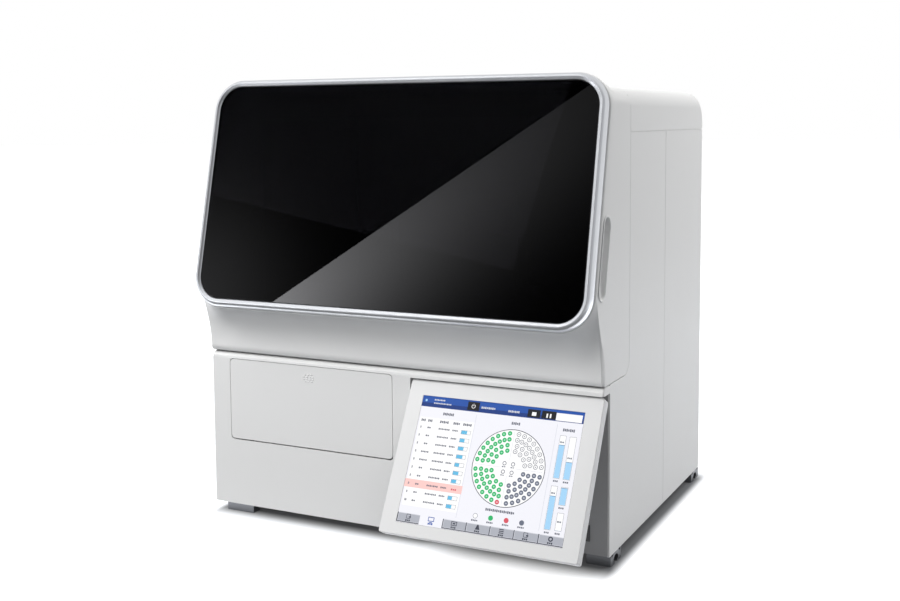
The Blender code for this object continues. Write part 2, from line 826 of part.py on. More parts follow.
def make_fascia():
    depth = RECESS_D - TOUCH

    def on_side(edge):
        in_front = all(vert.co.y < LIP_R - MERGE or vert.co.z > FASCIA_TOP - MERGE for vert in edge.verts)
        return abs(edge.verts[0].co.x) > HALF_W - MERGE and both(edge, 0, edge.verts[0].co.x) and in_front

    bm = bmesh.new()
    bm.from_mesh(box(-HALF_W, HALF_W, 0, depth, 0, FASCIA_TOP))
    chosen_bevel(bm, lambda e: both(e, 1, 0) and both(e, 2, FASCIA_TOP), LIP_R, 4)
    chosen_bevel(bm, on_side, SIDE_EDGE_R, 2)
    fascia = piece("fascia", mesh_from(bm), "housing_white")
    x, inner_top = HALF_W - WALL, FASCIA_TOP - WALL
    hollow = box(-x, RECESS_X - WALL, WALL, depth + OVERRUN, WALL, inner_top)
    cut(fascia, "fascia_hollow", hollow)
    header = box(RECESS_X, x, WALL, depth + OVERRUN, LEDGE_Z + WALL, inner_top)
    cut(fascia, "fascia_header_hollow", header)
    recess = box(RECESS_X, HALF_W + OVERRUN, -OVERRUN, depth + OVERRUN, -OVERRUN, LEDGE_Z)
    cut(fascia, "fascia_recess", recess)
    hole = rounded(
        DOOR_X0 - DOOR_GAP, DOOR_X1 + DOOR_GAP, DOOR_Z0 - DOOR_HINGE_GAP, DOOR_Z1 + DOOR_GAP, DOOR_CORNER_R, 3
    )
    cut(fascia, "fascia_door_hole", slab([hole], "Y", -OVERRUN, WALL + OVERRUN))
    cut(fascia, "fascia_foot_holes", foot_holes(TOUCH))
    smooth(fascia)


def make_recess_panel():
    """Wall behind the touchscreen, with the hole for the power switch."""
    outline = rectangle(RECESS_X + TOUCH, INNER_X, TOUCH, FASCIA_TOP - WALL)
    w, h = ROCKER_W / 2 + TOUCH, ROCKER_H / 2 + TOUCH
    hole = rectangle(ROCKER_X - w, ROCKER_X + w, ROCKER_Z - h, ROCKER_Z + h)
    piece("recess_panel", slab([outline, hole], "Y", RECESS_D, RECESS_D + WALL), "recess_grey")


def make_side_panels():
    low_top = HOOD_LOW_Z - SEAM
    rear, upper = PANEL_SEAM_Y - SEAM / 2, TOP_SEAM_Z - SEAM / 2
    seam_y = HOOD_SEAM_Y + SEAM / 2
    radius = HOOD_FOOT_R + SEAM
    notch = arc((seam_y - radius, low_top + radius), radius, 0, -90, 5)
    outline = [(RECESS_D, 0), (rear, 0), (rear, upper), (seam_y, upper)] + notch + [(RECESS_D, low_top)]
    piece("side_panel_front_right", slab([outline], "X", HALF_W - WALL, HALF_W), "housing_white")
    piece("side_panel_front_left", slab([outline], "X", -HALF_W, WALL - HALF_W), "housing_white")
    x, y, r = HALF_W, BODY_D, CORNER_R
    centre, end = (x - r, y - r), HALF_W - CORNER_R - PANEL_RETURN
    outer = [(x, PANEL_SEAM_Y + SEAM / 2)] + arc(centre, r, 0, 90, 6) + [(end, y)]
    inner = [(end, y - WALL)] + arc(centre, r - WALL, 90, 0, 6) + [(x - WALL, PANEL_SEAM_Y + SEAM / 2)]
    for name, plan in (("right", outer + inner), ("left", mirrored(outer + inner))):
        panel = piece(f"side_panel_rear_{name}", slab([plan], "Z", 0, upper), "housing_white")
        smooth(panel)


def make_top_cover():
    """Rounded lid over the rear of the body, an open surface with a wall."""
    front, low = HOOD_SEAM_Y + SEAM / 2, TOP_SEAM_Z + SEAM / 2
    bm = bmesh.new()
    bm.from_mesh(box(-HALF_W, HALF_W, front, BODY_D, low, BODY_TOP))
    chosen_bevel(bm, lambda e: both(e, 1, BODY_D) and both(e, 2, BODY_TOP), REAR_TOP_R, 6)

    def on_side(edge):
        face_sides = [abs(face.normal.x) > 0.9 for face in edge.link_faces]
        front_or_foot = both(edge, 1, front) or both(edge, 2, low)
        return sorted(face_sides) == [False, True] and not front_or_foot

    bm.normal_update()
    chosen_bevel(bm, on_side, CORNER_R, 5)
    open_faces = [f for f in bm.faces if all(abs(v.co.z - low) < MERGE for v in f.verts)]
    open_faces += [f for f in bm.faces if all(abs(v.co.y - front) < MERGE for v in f.verts)]
    bmesh.ops.delete(bm, geom=open_faces, context="FACES")
    cover = piece("top_cover", mesh_from(bm), "housing_white")
    wall(cover, WALL)
    smooth(cover)


def wall(obj, thickness):
    """Gives an open surface a wall on its inner side."""
    solidify = obj.modifiers.new("wall", "SOLIDIFY")
    solidify.thickness = thickness
    solidify.offset = -1
    solidify.use_even_offset = True


def fan_slots():
    """Arc slots in the rear panel over the fan, three rings in four quarters."""
    slots = []
    for inner, outer in zip(GUARD_RINGS, GUARD_RINGS[1:]):
        r0, r1 = inner + GUARD_WIRE, outer - GUARD_WIRE
        for quarter in range(4):
            start = quarter * 90
            trim0 = math.degrees(GUARD_WIRE / r0)
            trim1 = math.degrees(GUARD_WIRE / r1)
            outer_arc = arc((FAN_X, FAN_Z), r1, start + trim1, start + 90 - trim1, 4)
            inner_arc = arc((FAN_X, FAN_Z), r0, start + 90 - trim0, start + trim0, 4)
            slots.append(outer_arc + inner_arc)
    return slots


def vent_slots():
    slots = []
    for i in range(VENT_COUNT):
        z = VENT_Z + (i - (VENT_COUNT - 1) / 2) * VENT_PITCH
        half, r = VENT_W / 2, VENT_SLOT / 2
        slots.append(rectangle(VENT_X - half, VENT_X + half, z - r, z + r))
    return slots


REAR_PANEL_Y = BODY_D - REAR_PANEL_IN


def make_rear_panel():
    half = HALF_W - CORNER_R - PANEL_RETURN - TOUCH
    outlines = [rectangle(-half, half, TRAY_EDGE + TOUCH, TOP_SEAM_Z - SEAM / 2)]
    outlines += fan_slots() + vent_slots()
    w, h = INLET_W / 2 + TOUCH, INLET_H / 2 + TOUCH
    outlines.append(rectangle(INLET_X - w, INLET_X + w, INLET_Z - h, INLET_Z + h))
    w, h = PORT_BLOCK_W / 2 + TOUCH, PORT_BLOCK_H / 2 + TOUCH
    hole = rectangle(PORT_BLOCK_X - w, PORT_BLOCK_X + w, PORT_BLOCK_Z - h, PORT_BLOCK_Z + h)
    outlines.append(hole)
    for x in fitting_places():
        outlines.append(circle((x, FITTING_Z), FITTING_BARB_R + TOUCH, 8))
    panel = slab(outlines, "Y", REAR_PANEL_Y, REAR_PANEL_Y + REAR_PANEL_T)
    piece("rear_panel", panel, "housing_white")


# Hood


def lid_point(across, up, out):
    """A point of the lid: across, up along the pane, and out from the pane's face."""
    y = LID_Y + up * math.sin(LID_LEAN) - out * math.cos(LID_LEAN)
    z = LID_Z + up * math.cos(LID_LEAN) + out * math.sin(LID_LEAN)
    return (across, y, z)


LID_BACK = Vector((0, math.cos(LID_LEAN), -math.sin(LID_LEAN)))
BOTTOM_STEPS = 2
CORNER_STEPS = 7
CHEEK_FAN_STEPS = 8
SIDE_STEPS = 2
TOP_CORNER_STEPS = 5
TOP_STEPS = 1
CHEEK_FAN_SHARE = 0.36
CREASE = BOTTOM_STEPS + CORNER_STEPS
SIDE_START = CREASE + CHEEK_FAN_STEPS
TOP_CORNER_START = SIDE_START + SIDE_STEPS


def lid_half(spread):
    """Right half of the pane's outline, from the middle of its foot to the middle of its head.

    The outline is a rounded rectangle grown by spread, as (across, up) in the pane's plane.
    """
    half_w, half_h, radius = PANE_W / 2 + spread, PANE_H / 2 + spread, PANE_R + spread
    straight, side = half_w - radius, half_h - radius
    points = [(straight * i / BOTTOM_STEPS, -half_h) for i in range(BOTTOM_STEPS)]
    points += arc((straight, -side), radius, -90, 0, CORNER_STEPS)
    fan_top = -side + 2 * side * CHEEK_FAN_SHARE
    fan = range(1, CHEEK_FAN_STEPS + 1)
    points += [(half_w, -side + (fan_top + side) * i / CHEEK_FAN_STEPS) for i in fan]
    points += [(half_w, fan_top + (side - fan_top) * i / SIDE_STEPS) for i in range(1, SIDE_STEPS)]
    points += arc((straight, side), radius, 0, 90, TOP_CORNER_STEPS)
    return points + [(straight * (1 - i / TOP_STEPS), half_h) for i in range(1, TOP_STEPS + 1)]


def lid_loop(spread, out):
    """The same half in space, lifted by out from the pane's face."""
    return [lid_point(a, b, out) for a, b in lid_half(spread)]


def loft(rows, closed=False):
    """Quads between rows of points. A closed loft also joins the last row to the first."""
    count = len(rows[0])
    points = [tuple(point) for row in rows for point in row]
    pairs = list(zip(range(len(rows)), range(1, len(rows)))) + ([(len(rows) - 1, 0)] if closed else [])
    faces = []
    for low, high in pairs:
        for i in range(count - 1):
            a, b = low * count + i, high * count + i
            faces.append((a, b, b + 1, a + 1))
    mesh = bpy.data.meshes.new("loft")
    mesh.from_pydata(points, [], faces)
    return mesh


def mirror(obj):
    modifier = obj.modifiers.new("mirror", "MIRROR")
    modifier.use_axis = (True, False, False)
    modifier.merge_threshold = MERGE * 4


def hood_edge():
    """Rear and lower edge of the hood's right half, point for point with lid_loop."""
    foot_y, seam_y = COVE_Y + HOOD_LOW_IN, HOOD_SEAM_Y - SEAM / 2
    start = lid_loop(HOOD_LIP_OUT, 0)
    points = []
    for i in range(CREASE + 1):
        share = max(0, (i - BOTTOM_STEPS) / CORNER_STEPS)
        straight = start[min(i, BOTTOM_STEPS)][0]
        points.append(Vector((straight + (HALF_W - straight) * share, foot_y, HOOD_LOW_Z)))
    half = CHEEK_FAN_STEPS // 2
    turn_y = seam_y - HOOD_FOOT_R
    for i in range(1, half + 1):
        points.append(Vector((HALF_W, foot_y + (turn_y - foot_y) * i / half, HOOD_LOW_Z)))
    for y, z in arc((turn_y, HOOD_LOW_Z + HOOD_FOOT_R), HOOD_FOOT_R, -90, 0, half)[1:]:
        points.append(Vector((HALF_W, y, z)))
    side_low, side_high = HOOD_LOW_Z + HOOD_FOOT_R, BODY_TOP - CORNER_R
    for i in range(1, SIDE_STEPS):
        points.append(Vector((HALF_W, seam_y, side_low + (side_high - side_low) * i / SIDE_STEPS)))
    for x, z in arc((HALF_W - CORNER_R, side_high), CORNER_R, 0, 90, TOP_CORNER_STEPS):
        points.append(Vector((x, seam_y, z)))
    for i in range(1, TOP_STEPS + 1):
        points.append(Vector(((HALF_W - CORNER_R) * (1 - i / TOP_STEPS), seam_y, BODY_TOP)))
    return points


def bezier(p0, p1, p2, p3, t):
    u = 1 - t
    return u * u * u * p0 + 3 * u * u * t * p1 + 3 * u * t * t * p2 + t * t * t * p3


SWEEP_STEPS = 7
CHEEK_ROLL_SHARE = 0.12


def cove_path(start, end, share):
    """From the lid's edge down the cove. share runs from 0 at the cove's middle to 1 at the crease."""
    low = Vector((end.x, COVE_Y, COVE_LOW_Z))
    middle_lead = start + LID_BACK * COVE_LEAD
    crease_lead = start + Vector((0, CHEEK_LEAD_Y, -CHEEK_LEAD_Z))
    lead = middle_lead.lerp(crease_lead, share)
    lead.x = start.x + (end.x - start.x) * share
    bend = Vector((end.x, COVE_Y, COVE_BEND_Z))
    path = [bezier(start, lead, bend, low, i / SWEEP_STEPS) for i in range(1, SWEEP_STEPS + 1)]
    turn = Vector((end.x, COVE_Y + (end.y - COVE_Y) / 3, COVE_LOW_Z - (COVE_LOW_Z - end.z) * 2 / 3))
    return path + [turn, end]


def cheek_path(start, end, share):
    """From the lid's edge over the cheek. share runs from 0 at the crease to 1 where it is straight."""
    first = Vector((HALF_W, start.y + CHEEK_LEAD_Y, start.z - CHEEK_LEAD_Z))
    second = Vector((HALF_W, end.y, end.z + COVE_BEND_Z - COVE_LOW_Z))
    root = Vector((HALF_W, start.y, start.z))
    first = first.lerp(root.lerp(end, 1 / 3), share)
    second = second.lerp(root.lerp(end, 2 / 3), share)
    count = SWEEP_STEPS + 2
    path = [bezier(root, first, second, end, i / count) for i in range(1, count + 1)]
    path[0].x = start.x + (HALF_W - start.x) * (1 - CHEEK_ROLL_SHARE)
    return path


def top_path(start, end, section):
    """From the lid's edge over a flare to the body's section, then straight back to the seam."""
    join = Vector((section.x, FLARE_END_Y, section.z))
    lead = start + LID_BACK * FLARE_LEAD
    tail = join - Vector((0, FLARE_LEAD, 0))
    path = [bezier(start, lead, tail, join, i / SWEEP_STEPS) for i in range(1, SWEEP_STEPS + 1)]
    return path + [join.lerp(end, 1 / 2), end]


def make_hood_shell():
    """Moulded hood: a loft from the lid's rounded outline out to the body's section.

    Below the lid it sweeps in a cove to the front lip, at the sides it runs flat to the seam, and
    above the lid it flares down to the top. The crease is where the cove meets the cheek.
    """
    rows = [
        lid_loop(-HOOD_FLANGE_IN, -FRAME_BACK - TOUCH),
        lid_loop(HOOD_LIP_OUT, -FRAME_BACK - TOUCH),
        lid_loop(HOOD_LIP_OUT + HOOD_LIP_ROLL, -FRAME_BACK - TOUCH - HOOD_LIP_ROLL),
    ]
    starts = [Vector(point) for point in rows[-1]]
    ends = hood_edge()
    paths = []
    for i, (start, end) in enumerate(zip(starts, ends)):
        if i <= CREASE:
            paths.append(cove_path(start, end, max(0, (i - BOTTOM_STEPS) / CORNER_STEPS)))
        elif i < SIDE_START:
            paths.append(cheek_path(start, end, (i - CREASE) / CHEEK_FAN_STEPS))
        elif i <= TOP_CORNER_START:
            paths.append(cheek_path(start, end, 1))
        else:
            paths.append(top_path(start, end, end))
    rows += [[path[k] for path in paths] for k in range(len(paths[0]))]
    hood = piece("hood_shell", loft(rows), "housing_white", HOOD_AXIS)
    mirror(hood)
    wall(hood, WALL)
    for name, side in (("right", 1), ("left", -1)):
        cut(hood, f"cup_hole_{name}", cup_slab(CUP_WALL + TOUCH, side, CUP_DEEP, OVERRUN))
    smooth(hood)


def make_lid_frame():
    """Silver frame: an inner bevel up to a crest, then a round shoulder falling away outwards."""
    fall = FRAME_W - FRAME_CREST_AT
    section = [(0, 0), (FRAME_CREST_AT / 3, FRAME_CREST * 2 / 3), (FRAME_CREST_AT, FRAME_CREST)]
    drop = FRAME_CREST + FRAME_SHOULDER
    for i in (1, 2, 3):
        a = i * math.pi / 6
        section.append((FRAME_CREST_AT + fall * math.sin(a), FRAME_CREST - drop * (1 - math.cos(a))))
    section += [(FRAME_W - HOOD_LIP_ROLL / 4, -FRAME_BACK), (-FRAME_REBATE, -FRAME_BACK)]
    rebate = -PANE_INSET - PANE_T - TOUCH
    section += [(-FRAME_REBATE, rebate), (0, rebate)]
    rows = [lid_loop(spread, out) for spread, out in section]
    frame = piece("lid_frame", loft(rows, True), "satin_silver", HOOD_AXIS)
    mirror(frame)
    smooth(frame)


def make_lid_pane():
    right = lid_half(-TOUCH)
    outline = right + mirrored(right)[1:-1]
    mesh = slab([outline], "Y", PANE_INSET, PANE_INSET + PANE_T)
    turn = Matrix.Rotation(-LID_LEAN, 4, "X")
    mesh.transform(Matrix.Translation((0, LID_Y, LID_Z)) @ turn)
    piece("lid_pane", mesh, "smoked_pane", HOOD_AXIS)


def cup_slab(spread, side, deep, proud):
    """A leaning slot outline through the cheek on one side, grown by spread."""
    outline = stadium((CUP_Y, CUP_Z), CUP_L + 2 * spread, CUP_W + 2 * spread, LID_LEAN)
    low, high = HALF_W - deep, HALF_W + proud
    if side < 0:
        low, high = -high, -low
    return slab([outline], "X", low, high)


def make_grip_cups():
    for name, side in (("right", 1), ("left", -1)):
        body = cup_slab(CUP_WALL, side, CUP_DEEP, TOUCH + CUP_RIM_H / 2)
        cup = piece(f"grip_cup_{name}", body, "housing_white", HOOD_AXIS)
        rim = cup_slab(CUP_RIM, side, -TOUCH, TOUCH + CUP_RIM_H)
        unite(cup, f"cup_rim_{name}", rim)
        cut(cup, f"cup_pocket_{name}", cup_slab(0, side, CUP_DEEP - CUP_WALL, OVERRUN))
        smooth(cup)


HINGE_AXIS_Z = BODY_TOP + TOUCH + HINGE_R
HOOD_AXIS = (0, HOOD_SEAM_Y, HINGE_AXIS_Z)


def knuckle(x0, x1, side, bore):
    """A hinge knuckle with a short tab to one side, +1 to the rear and -1 to the front."""
    y, z, r = HOOD_SEAM_Y, HINGE_AXIS_Z, HINGE_R
    rise = math.degrees(math.asin((HINGE_T - r) / r))
    barrel = arc((y, z), r, rise, 270, 7)
    tab_end = y + HINGE_R + HINGE_T * 2
    outline = [(tab_end, z - r), (tab_end, z - r + HINGE_T)] + barrel
    if side < 0:
        outline = [(2 * y - a, b) for a, b in reversed(outline)]
    holes = [circle((y, z), bore, 8)] if bore else []
    return slab([outline] + holes, "X", x0, x1)


def make_hood_hinge():
    """One long surface hinge over the seam. Its pin is fixed in the knuckles of the rear leaf."""
    low, y, half = BODY_TOP + TOUCH, HOOD_SEAM_Y, HINGE_L / 2
    near, far = HINGE_R + RUN, HINGE_R + HINGE_LEAF
    pitch = HINGE_L / HINGE_KNUCKLES
    knuckles = {1: [], -1: []}
    for i in range(HINGE_KNUCKLES):
        side, x0 = (-1 if i % 2 else 1), i * pitch - half
        bore = 0 if side > 0 else HINGE_BORE_R
        gap = TOUCH if side < 0 else 0
        knuckles[side].append(knuckle(x0 + gap, x0 + pitch - gap, side, bore))
    leaf = box(-half, half, y + near, y + far, low, low + HINGE_T)
    leaf = piece("hood_hinge_fixed", leaf, "bright_steel")
    unite(leaf, "hinge_fixed_knuckles", joined(knuckles[1]))
    unite(leaf, "hinge_pin", rod(HINGE_PIN_R, (0, y, HINGE_AXIS_Z), "X", TOUCH - half, half - TOUCH, 8))
    leaf = box(-half, half, y - far, y - near, low, low + HINGE_T)
    leaf = piece("hood_hinge_moving", leaf, "bright_steel", HOOD_AXIS)
    unite(leaf, "hinge_moving_knuckles", joined(knuckles[-1]))


# Touchscreen and power switch


def screen_axis():
    out = SCREEN_AXIS_IN * math.cos(SCREEN_TILT) - SCREEN_AXIS_DOWN * math.sin(SCREEN_TILT)
    down = SCREEN_AXIS_IN * math.sin(SCREEN_TILT) + SCREEN_AXIS_DOWN * math.cos(SCREEN_TILT)
    return (SCREEN_X1 - SCREEN_W / 2, SCREEN_TOP_Y + out, SCREEN_TOP_Z - down)


def make_screen():
    """Touchscreen on two eyes, built upright about its axis and tilted by the empty."""
    at = screen_axis()
    tilt = empty("screen_tilt_axis", at, -SCREEN_TILT)
    half, top, low = SCREEN_W / 2, SCREEN_AXIS_DOWN, SCREEN_AXIS_DOWN - SCREEN_H
    front, back = -SCREEN_AXIS_IN, SCREEN_T - SCREEN_AXIS_IN
    outline = rounded(-half, half, low, top, SCREEN_CORNER_R, 3)
    bm = bmesh.new()
    bm.from_mesh(slab([outline], "Y", front, back))
    chosen_bevel(bm, lambda e: both(e, 1, front), SCREEN_FRONT_R, 2)
    chosen_bevel(bm, lambda e: both(e, 1, back), SCREEN_REAR_INSET, 2)
    case = piece("screen_case", mesh_from(bm), "screen_white", None, tilt)
    x0, z1 = -half + DISPLAY_LEFT, top - DISPLAY_TOP
    x1, z0 = x0 + DISPLAY_W, z1 - DISPLAY_H
    deep = front + DISPLAY_T + TOUCH
    cut(case, "display_pocket", box(x0, x1, front - OVERRUN, deep, z0, z1))
    pockets, bores = [], []
    side, eye = BRACKET_W / 2 + RUN, BRACKET_EYE_R + RUN
    for x in (-BRACKET_AT, BRACKET_AT):
        pockets.append(box(x - side, x + side, -eye, back + OVERRUN, -eye, top + OVERRUN))
        reach = side + BRACKET_PIN_L
        bores.append(rod(BRACKET_PIN_R + TOUCH, (x, 0, 0), "X", -reach, reach, 8))
    cut(case, "bracket_bores", joined(bores))
    cut(case, "bracket_pockets", joined(pockets))
    smooth(case)
    ends = (x0 + TOUCH, x1 - TOUCH, front + TOUCH, deep - TOUCH, z0 + TOUCH, z1 - TOUCH)
    piece("screen_display", box(*ends), "display_glass", None, tilt)
    make_screen_brackets(at)


def make_screen_brackets(at):
    """Two eyes with pins on one plate, which is fixed to the recess panel."""
    arms, eyes, pins = [], [], []
    face, half_arm = RECESS_D - TOUCH, BRACKET_ARM / 2
    half_w, low = BRACKET_AT + BRACKET_W, at[2] - BRACKET_PLATE_H / 2 - half_arm
    ends = (at[0] - half_w, at[0] + half_w, face - BRACKET_PLATE_T, face)
    plate = box(*ends, low, low + BRACKET_PLATE_H)
    for x in (at[0] - BRACKET_AT, at[0] + BRACKET_AT):
        side = BRACKET_W / 2
        arms.append(box(x - side, x + side, at[1], face - TOUCH, at[2] - half_arm, at[2] + half_arm))
        eyes.append(rod(BRACKET_EYE_R, (x, at[1], at[2]), "X", -side, side))
        reach = side + RUN + BRACKET_PIN_L - TOUCH
        pins.append(rod(BRACKET_PIN_R, (x, at[1], at[2]), "X", -reach, reach, 8))
    brackets = piece("screen_brackets", plate, "sheet_steel")
    unite(brackets, "bracket_arms", joined(arms))
    unite(brackets, "bracket_eyes", joined(eyes))
    unite(brackets, "bracket_pins", joined(pins))


def make_switch():
    half_w, half_h = ROCKER_W / 2, ROCKER_H / 2
    x, z, face = ROCKER_X, ROCKER_Z, RECESS_D - TOUCH
    back = RECESS_D + ROCKER_DEEP
    body = box(x - half_w, x + half_w, face - ROCKER_BEZEL_H / 2, back, z - half_h, z + half_h)
    bezel = piece("switch_bezel", body, "black_plastic")
    w, h = half_w + ROCKER_BEZEL, half_h + ROCKER_BEZEL
    flange = box(x - w, x + w, face - ROCKER_BEZEL_H, face, z - h, z + h)
    unite(bezel, "bezel_flange", flange)
    w, h = half_w - ROCKER_WALL, half_h - ROCKER_WALL
    pocket = box(x - w, x + w, face - OVERRUN, back - ROCKER_WALL, z - h, z + h)
    cut(bezel, "bezel_pocket", pocket)
    axis = (x, RECESS_D + ROCKER_AXIS_IN, z)
    reach = w - RUN + ROCKER_PIN_L
    cut(bezel, "bezel_bores", rod(ROCKER_PIN_R + TOUCH, axis, "X", -reach - TOUCH, reach + TOUCH, 8))
    outline = [(-ROCKER_FRONT, ROCKER_HALF), (-ROCKER_FRONT + ROCKER_PIN_R, 0)]
    outline += [(-ROCKER_FRONT, -ROCKER_HALF), (0, -ROCKER_HALF)]
    outline += [(ROCKER_BACK, -ROCKER_HALF / 2), (ROCKER_BACK, ROCKER_HALF / 2), (0, ROCKER_HALF)]
    tilt = empty("rocker_axis", axis, ROCKER_TILT)
    rocker = piece("power_rocker", slab([outline], "X", RUN - w, w - RUN), "black_plastic", None, tilt)
    unite(rocker, "rocker_pins", rod(ROCKER_PIN_R, (0, 0, 0), "X", -reach, reach, 8))


# Access door, its bay and the waste bin

DOOR_AXIS = (0, DOOR_AXIS_IN, DOOR_Z0 + DOOR_AXIS_UP)
DOOR_LUG_X = (DOOR_X0 + DOOR_LUG_IN, DOOR_X1 - DOOR_LUG_IN - DOOR_LUG_L)


def make_door():
    x0, x1, z0, z1 = DOOR_X0, DOOR_X1, DOOR_Z0, DOOR_Z1
    plate = slab([rounded(x0, x1, z0, z1, DOOR_CORNER_R, 3)], "Y", 0, DOOR_T)
    door = piece("access_door", plate, "housing_white", DOOR_AXIS)
    y, z, r = DOOR_AXIS[1], DOOR_AXIS[2], DOOR_LUG_R
    lug = [(DOOR_T - TOUCH, z - r), (y, z - r)] + arc((y, z), r, -90, 90, 4)[1:-1]
    lug += [(y, z + r), (DOOR_T - TOUCH, z + r)]
    lugs = [slab([lug], "X", x, x + DOOR_LUG_L) for x in DOOR_LUG_X]
    unite(door, "door_lugs", joined(lugs))
    bores = [
        rod(DOOR_PIN_R + TOUCH, (x, y, z), "X", -OVERRUN, DOOR_LUG_L + OVERRUN, 8) for x in DOOR_LUG_X
    ]
    cut(door, "door_bores", joined(bores))
    dots = []
    middle, top = (x0 + x1) / 2, z1 - DOT_DROP
    for row, count in enumerate(DOT_COLUMNS):
        for column in range(count):
            x = middle + (column - (count - 1) / 2) * DOT_PITCH
            dots.append(rod(DOT_R, (x, 0, top - row * DOT_ROW_PITCH), "Y", -DOT_H, DOOR_T / 2, 6))
    unite(door, "door_dots", joined(dots))
    make_door_hinges()


def make_door_hinges():
    """A block and pin beside each lug, on one rail along the liner's front edge."""
    y, z, edge = DOOR_AXIS[1], DOOR_AXIS[2], DOOR_BLOCK_EDGE
    front, rear = y - edge, BAY_Y0 - TOUCH
    rail = rear - DOOR_RAIL_T
    left, right = DOOR_LUG_X[0] + DOOR_LUG_L + TOUCH, DOOR_LUG_X[1] - TOUCH
    low, top, end = z - edge, z + DOOR_BLOCK_UP, rail + DOOR_RAIL_T / 2
    bar = box(*DOOR_LUG_X, rail, rear, low - DOOR_RAIL_EDGE, top + DOOR_RAIL_EDGE)
    hinges = piece("door_hinges", bar, "bright_steel")
    unite(hinges, "door_block_left", box(left, left + DOOR_BLOCK_L, front, end, low, top))
    unite(hinges, "door_block_right", box(right - DOOR_BLOCK_L, right, front, end, low, top))
    reach, hold = DOOR_LUG_L + 2 * TOUCH, DOOR_BLOCK_L / 2
    unite(hinges, "door_pin_left", rod(DOOR_PIN_R, (0, y, z), "X", left - reach, left + hold))
    unite(hinges, "door_pin_right", rod(DOOR_PIN_R, (0, y, z), "X", right - hold, right + reach))


def make_bay():
    """Open-fronted liner hung on two ribs, with the door's catch and a chute down from the deck."""
    x0, x1, y0, y1, z0, z1 = BAY_X0, BAY_X1, BAY_Y0, BAY_Y1, BAY_Z0, BAY_Z1
    t, under_deck = BAY_WALL, DECK_LOW - TOUCH
    liner = piece("bay_liner", box(x0, x1, y0, y1, z0, z1), "bin_grey")
    ribs = [
        box(x, x + RIB_W, y0 + RIB_END, y1 - RIB_END, z1 - t / 2, under_deck) for x in RIB_X
    ]
    unite(liner, "bay_ribs", joined(ribs))
    at = (CHUTE_X, CHUTE_Y, 0)
    unite(liner, "chute_collar", rod(CHUTE_R + t, at, "Z", z1 - t / 2, DECK_TOP))
    middle = (DOOR_X0 + DOOR_X1) / 2
    ends = (middle - CATCH_W / 2, middle + CATCH_W / 2, DOOR_T + TOUCH, y0 + RIB_W)
    unite(liner, "door_catch", box(*ends, DOOR_Z1 - CATCH_OVERLAP, FASCIA_TOP - WALL - TOUCH))
    cut(liner, "bay_hollow", box(x0 + t, x1 - t, y0 + TOUCH - RIB_W, y1 - t, z0 + t, z1 - t))
    cut(liner, "chute_bore", rod(CHUTE_R, at, "Z", z1 - OVERRUN, DECK_TOP + OVERRUN))
    x0, x1 = x0 + t + BIN_SIDE, x1 - t - BIN_SIDE
    y0, y1 = y0 + BIN_FRONT, y1 - t - BIN_FRONT
    z0, z1 = z0 + t + TOUCH, z0 + t + TOUCH + BIN_H
    bin_body = tapered_box(x0, x1, y0, y1, z0, z1, BIN_TAPER)
    waste_bin = piece("waste_bin", bin_body, "black_plastic")
    w = BIN_WALL
    hollow = tapered_box(x0 + w, x1 - w, y0 + w, y1 - w, z0 + w, z1 + w, BIN_TAPER)
    cut(waste_bin, "bin_hollow", hollow)
    middle, half = (x0 + x1) / 2, BIN_GRIP_W / 2
    notch = box(middle - half, middle + half, y0 - OVERRUN, y0 + BIN_TAPER, z1 - BIN_GRIP_H, z1 + w)
    cut(waste_bin, "bin_grip", notch)


def tapered_box(x0, x1, y0, y1, z0, z1, taper):
    """A box whose foot is smaller than its top by taper on each side."""
    bm = bmesh.new()
    bm.from_mesh(box(x0, x1, y0, y1, z0, z1))
    for vert in bm.verts:
        if abs(vert.co.z - z0) < MERGE:
            vert.co.x += taper if vert.co.x < (x0 + x1) / 2 else -taper
            vert.co.y += taper if vert.co.y < (y0 + y1) / 2 else -taper
    return mesh_from(bm)


# Work deck

ON_DECK = DECK_TOP + TOUCH


def make_carousel():
    x, y = CAROUSEL_X, CAROUSEL_Y
    low, top = ON_DECK, ON_DECK + CAROUSEL_BASE_H
    stem = top + SPINDLE_H
    profile = [(0, stem), (SPINDLE_R, stem), (SPINDLE_R, top), (CAROUSEL_HUB_R, top)]
    profile += [(CAROUSEL_HUB_R + SPINDLE_R, low), (0, low)]
    base = piece("carousel_base", turned(profile, (x, y, 0)), "anodised_dark")
    smooth(base)
    under = top + TOUCH
    face, hub_top, bore_top = under + TABLE_T, under + HUB_H, stem + TOUCH
    knob_low = hub_top + KNOB_STEM_R
    bore = SPINDLE_R + TOUCH
    knob_top = hub_top + KNOB_H
    profile = [(0, knob_top), (KNOB_STEM_R, knob_top), (KNOB_R, knob_top - KNOB_STEM_R)]
    profile += [(KNOB_R, knob_low + KNOB_STEM_R), (KNOB_STEM_R, knob_low), (KNOB_STEM_R, hub_top)]
    profile += [(CAROUSEL_HUB_R, hub_top), (CAROUSEL_HUB_R, face), (CAROUSEL_R, face)]
    profile += [(CAROUSEL_R, under), (bore, under), (bore, bore_top), (0, bore_top)]
    table = piece("carousel_table", turned(profile, (x, y, 0), "Z", 32), "anodised_dark", (x, y, under))
    smooth(table)
    make_kits(face + TOUCH)


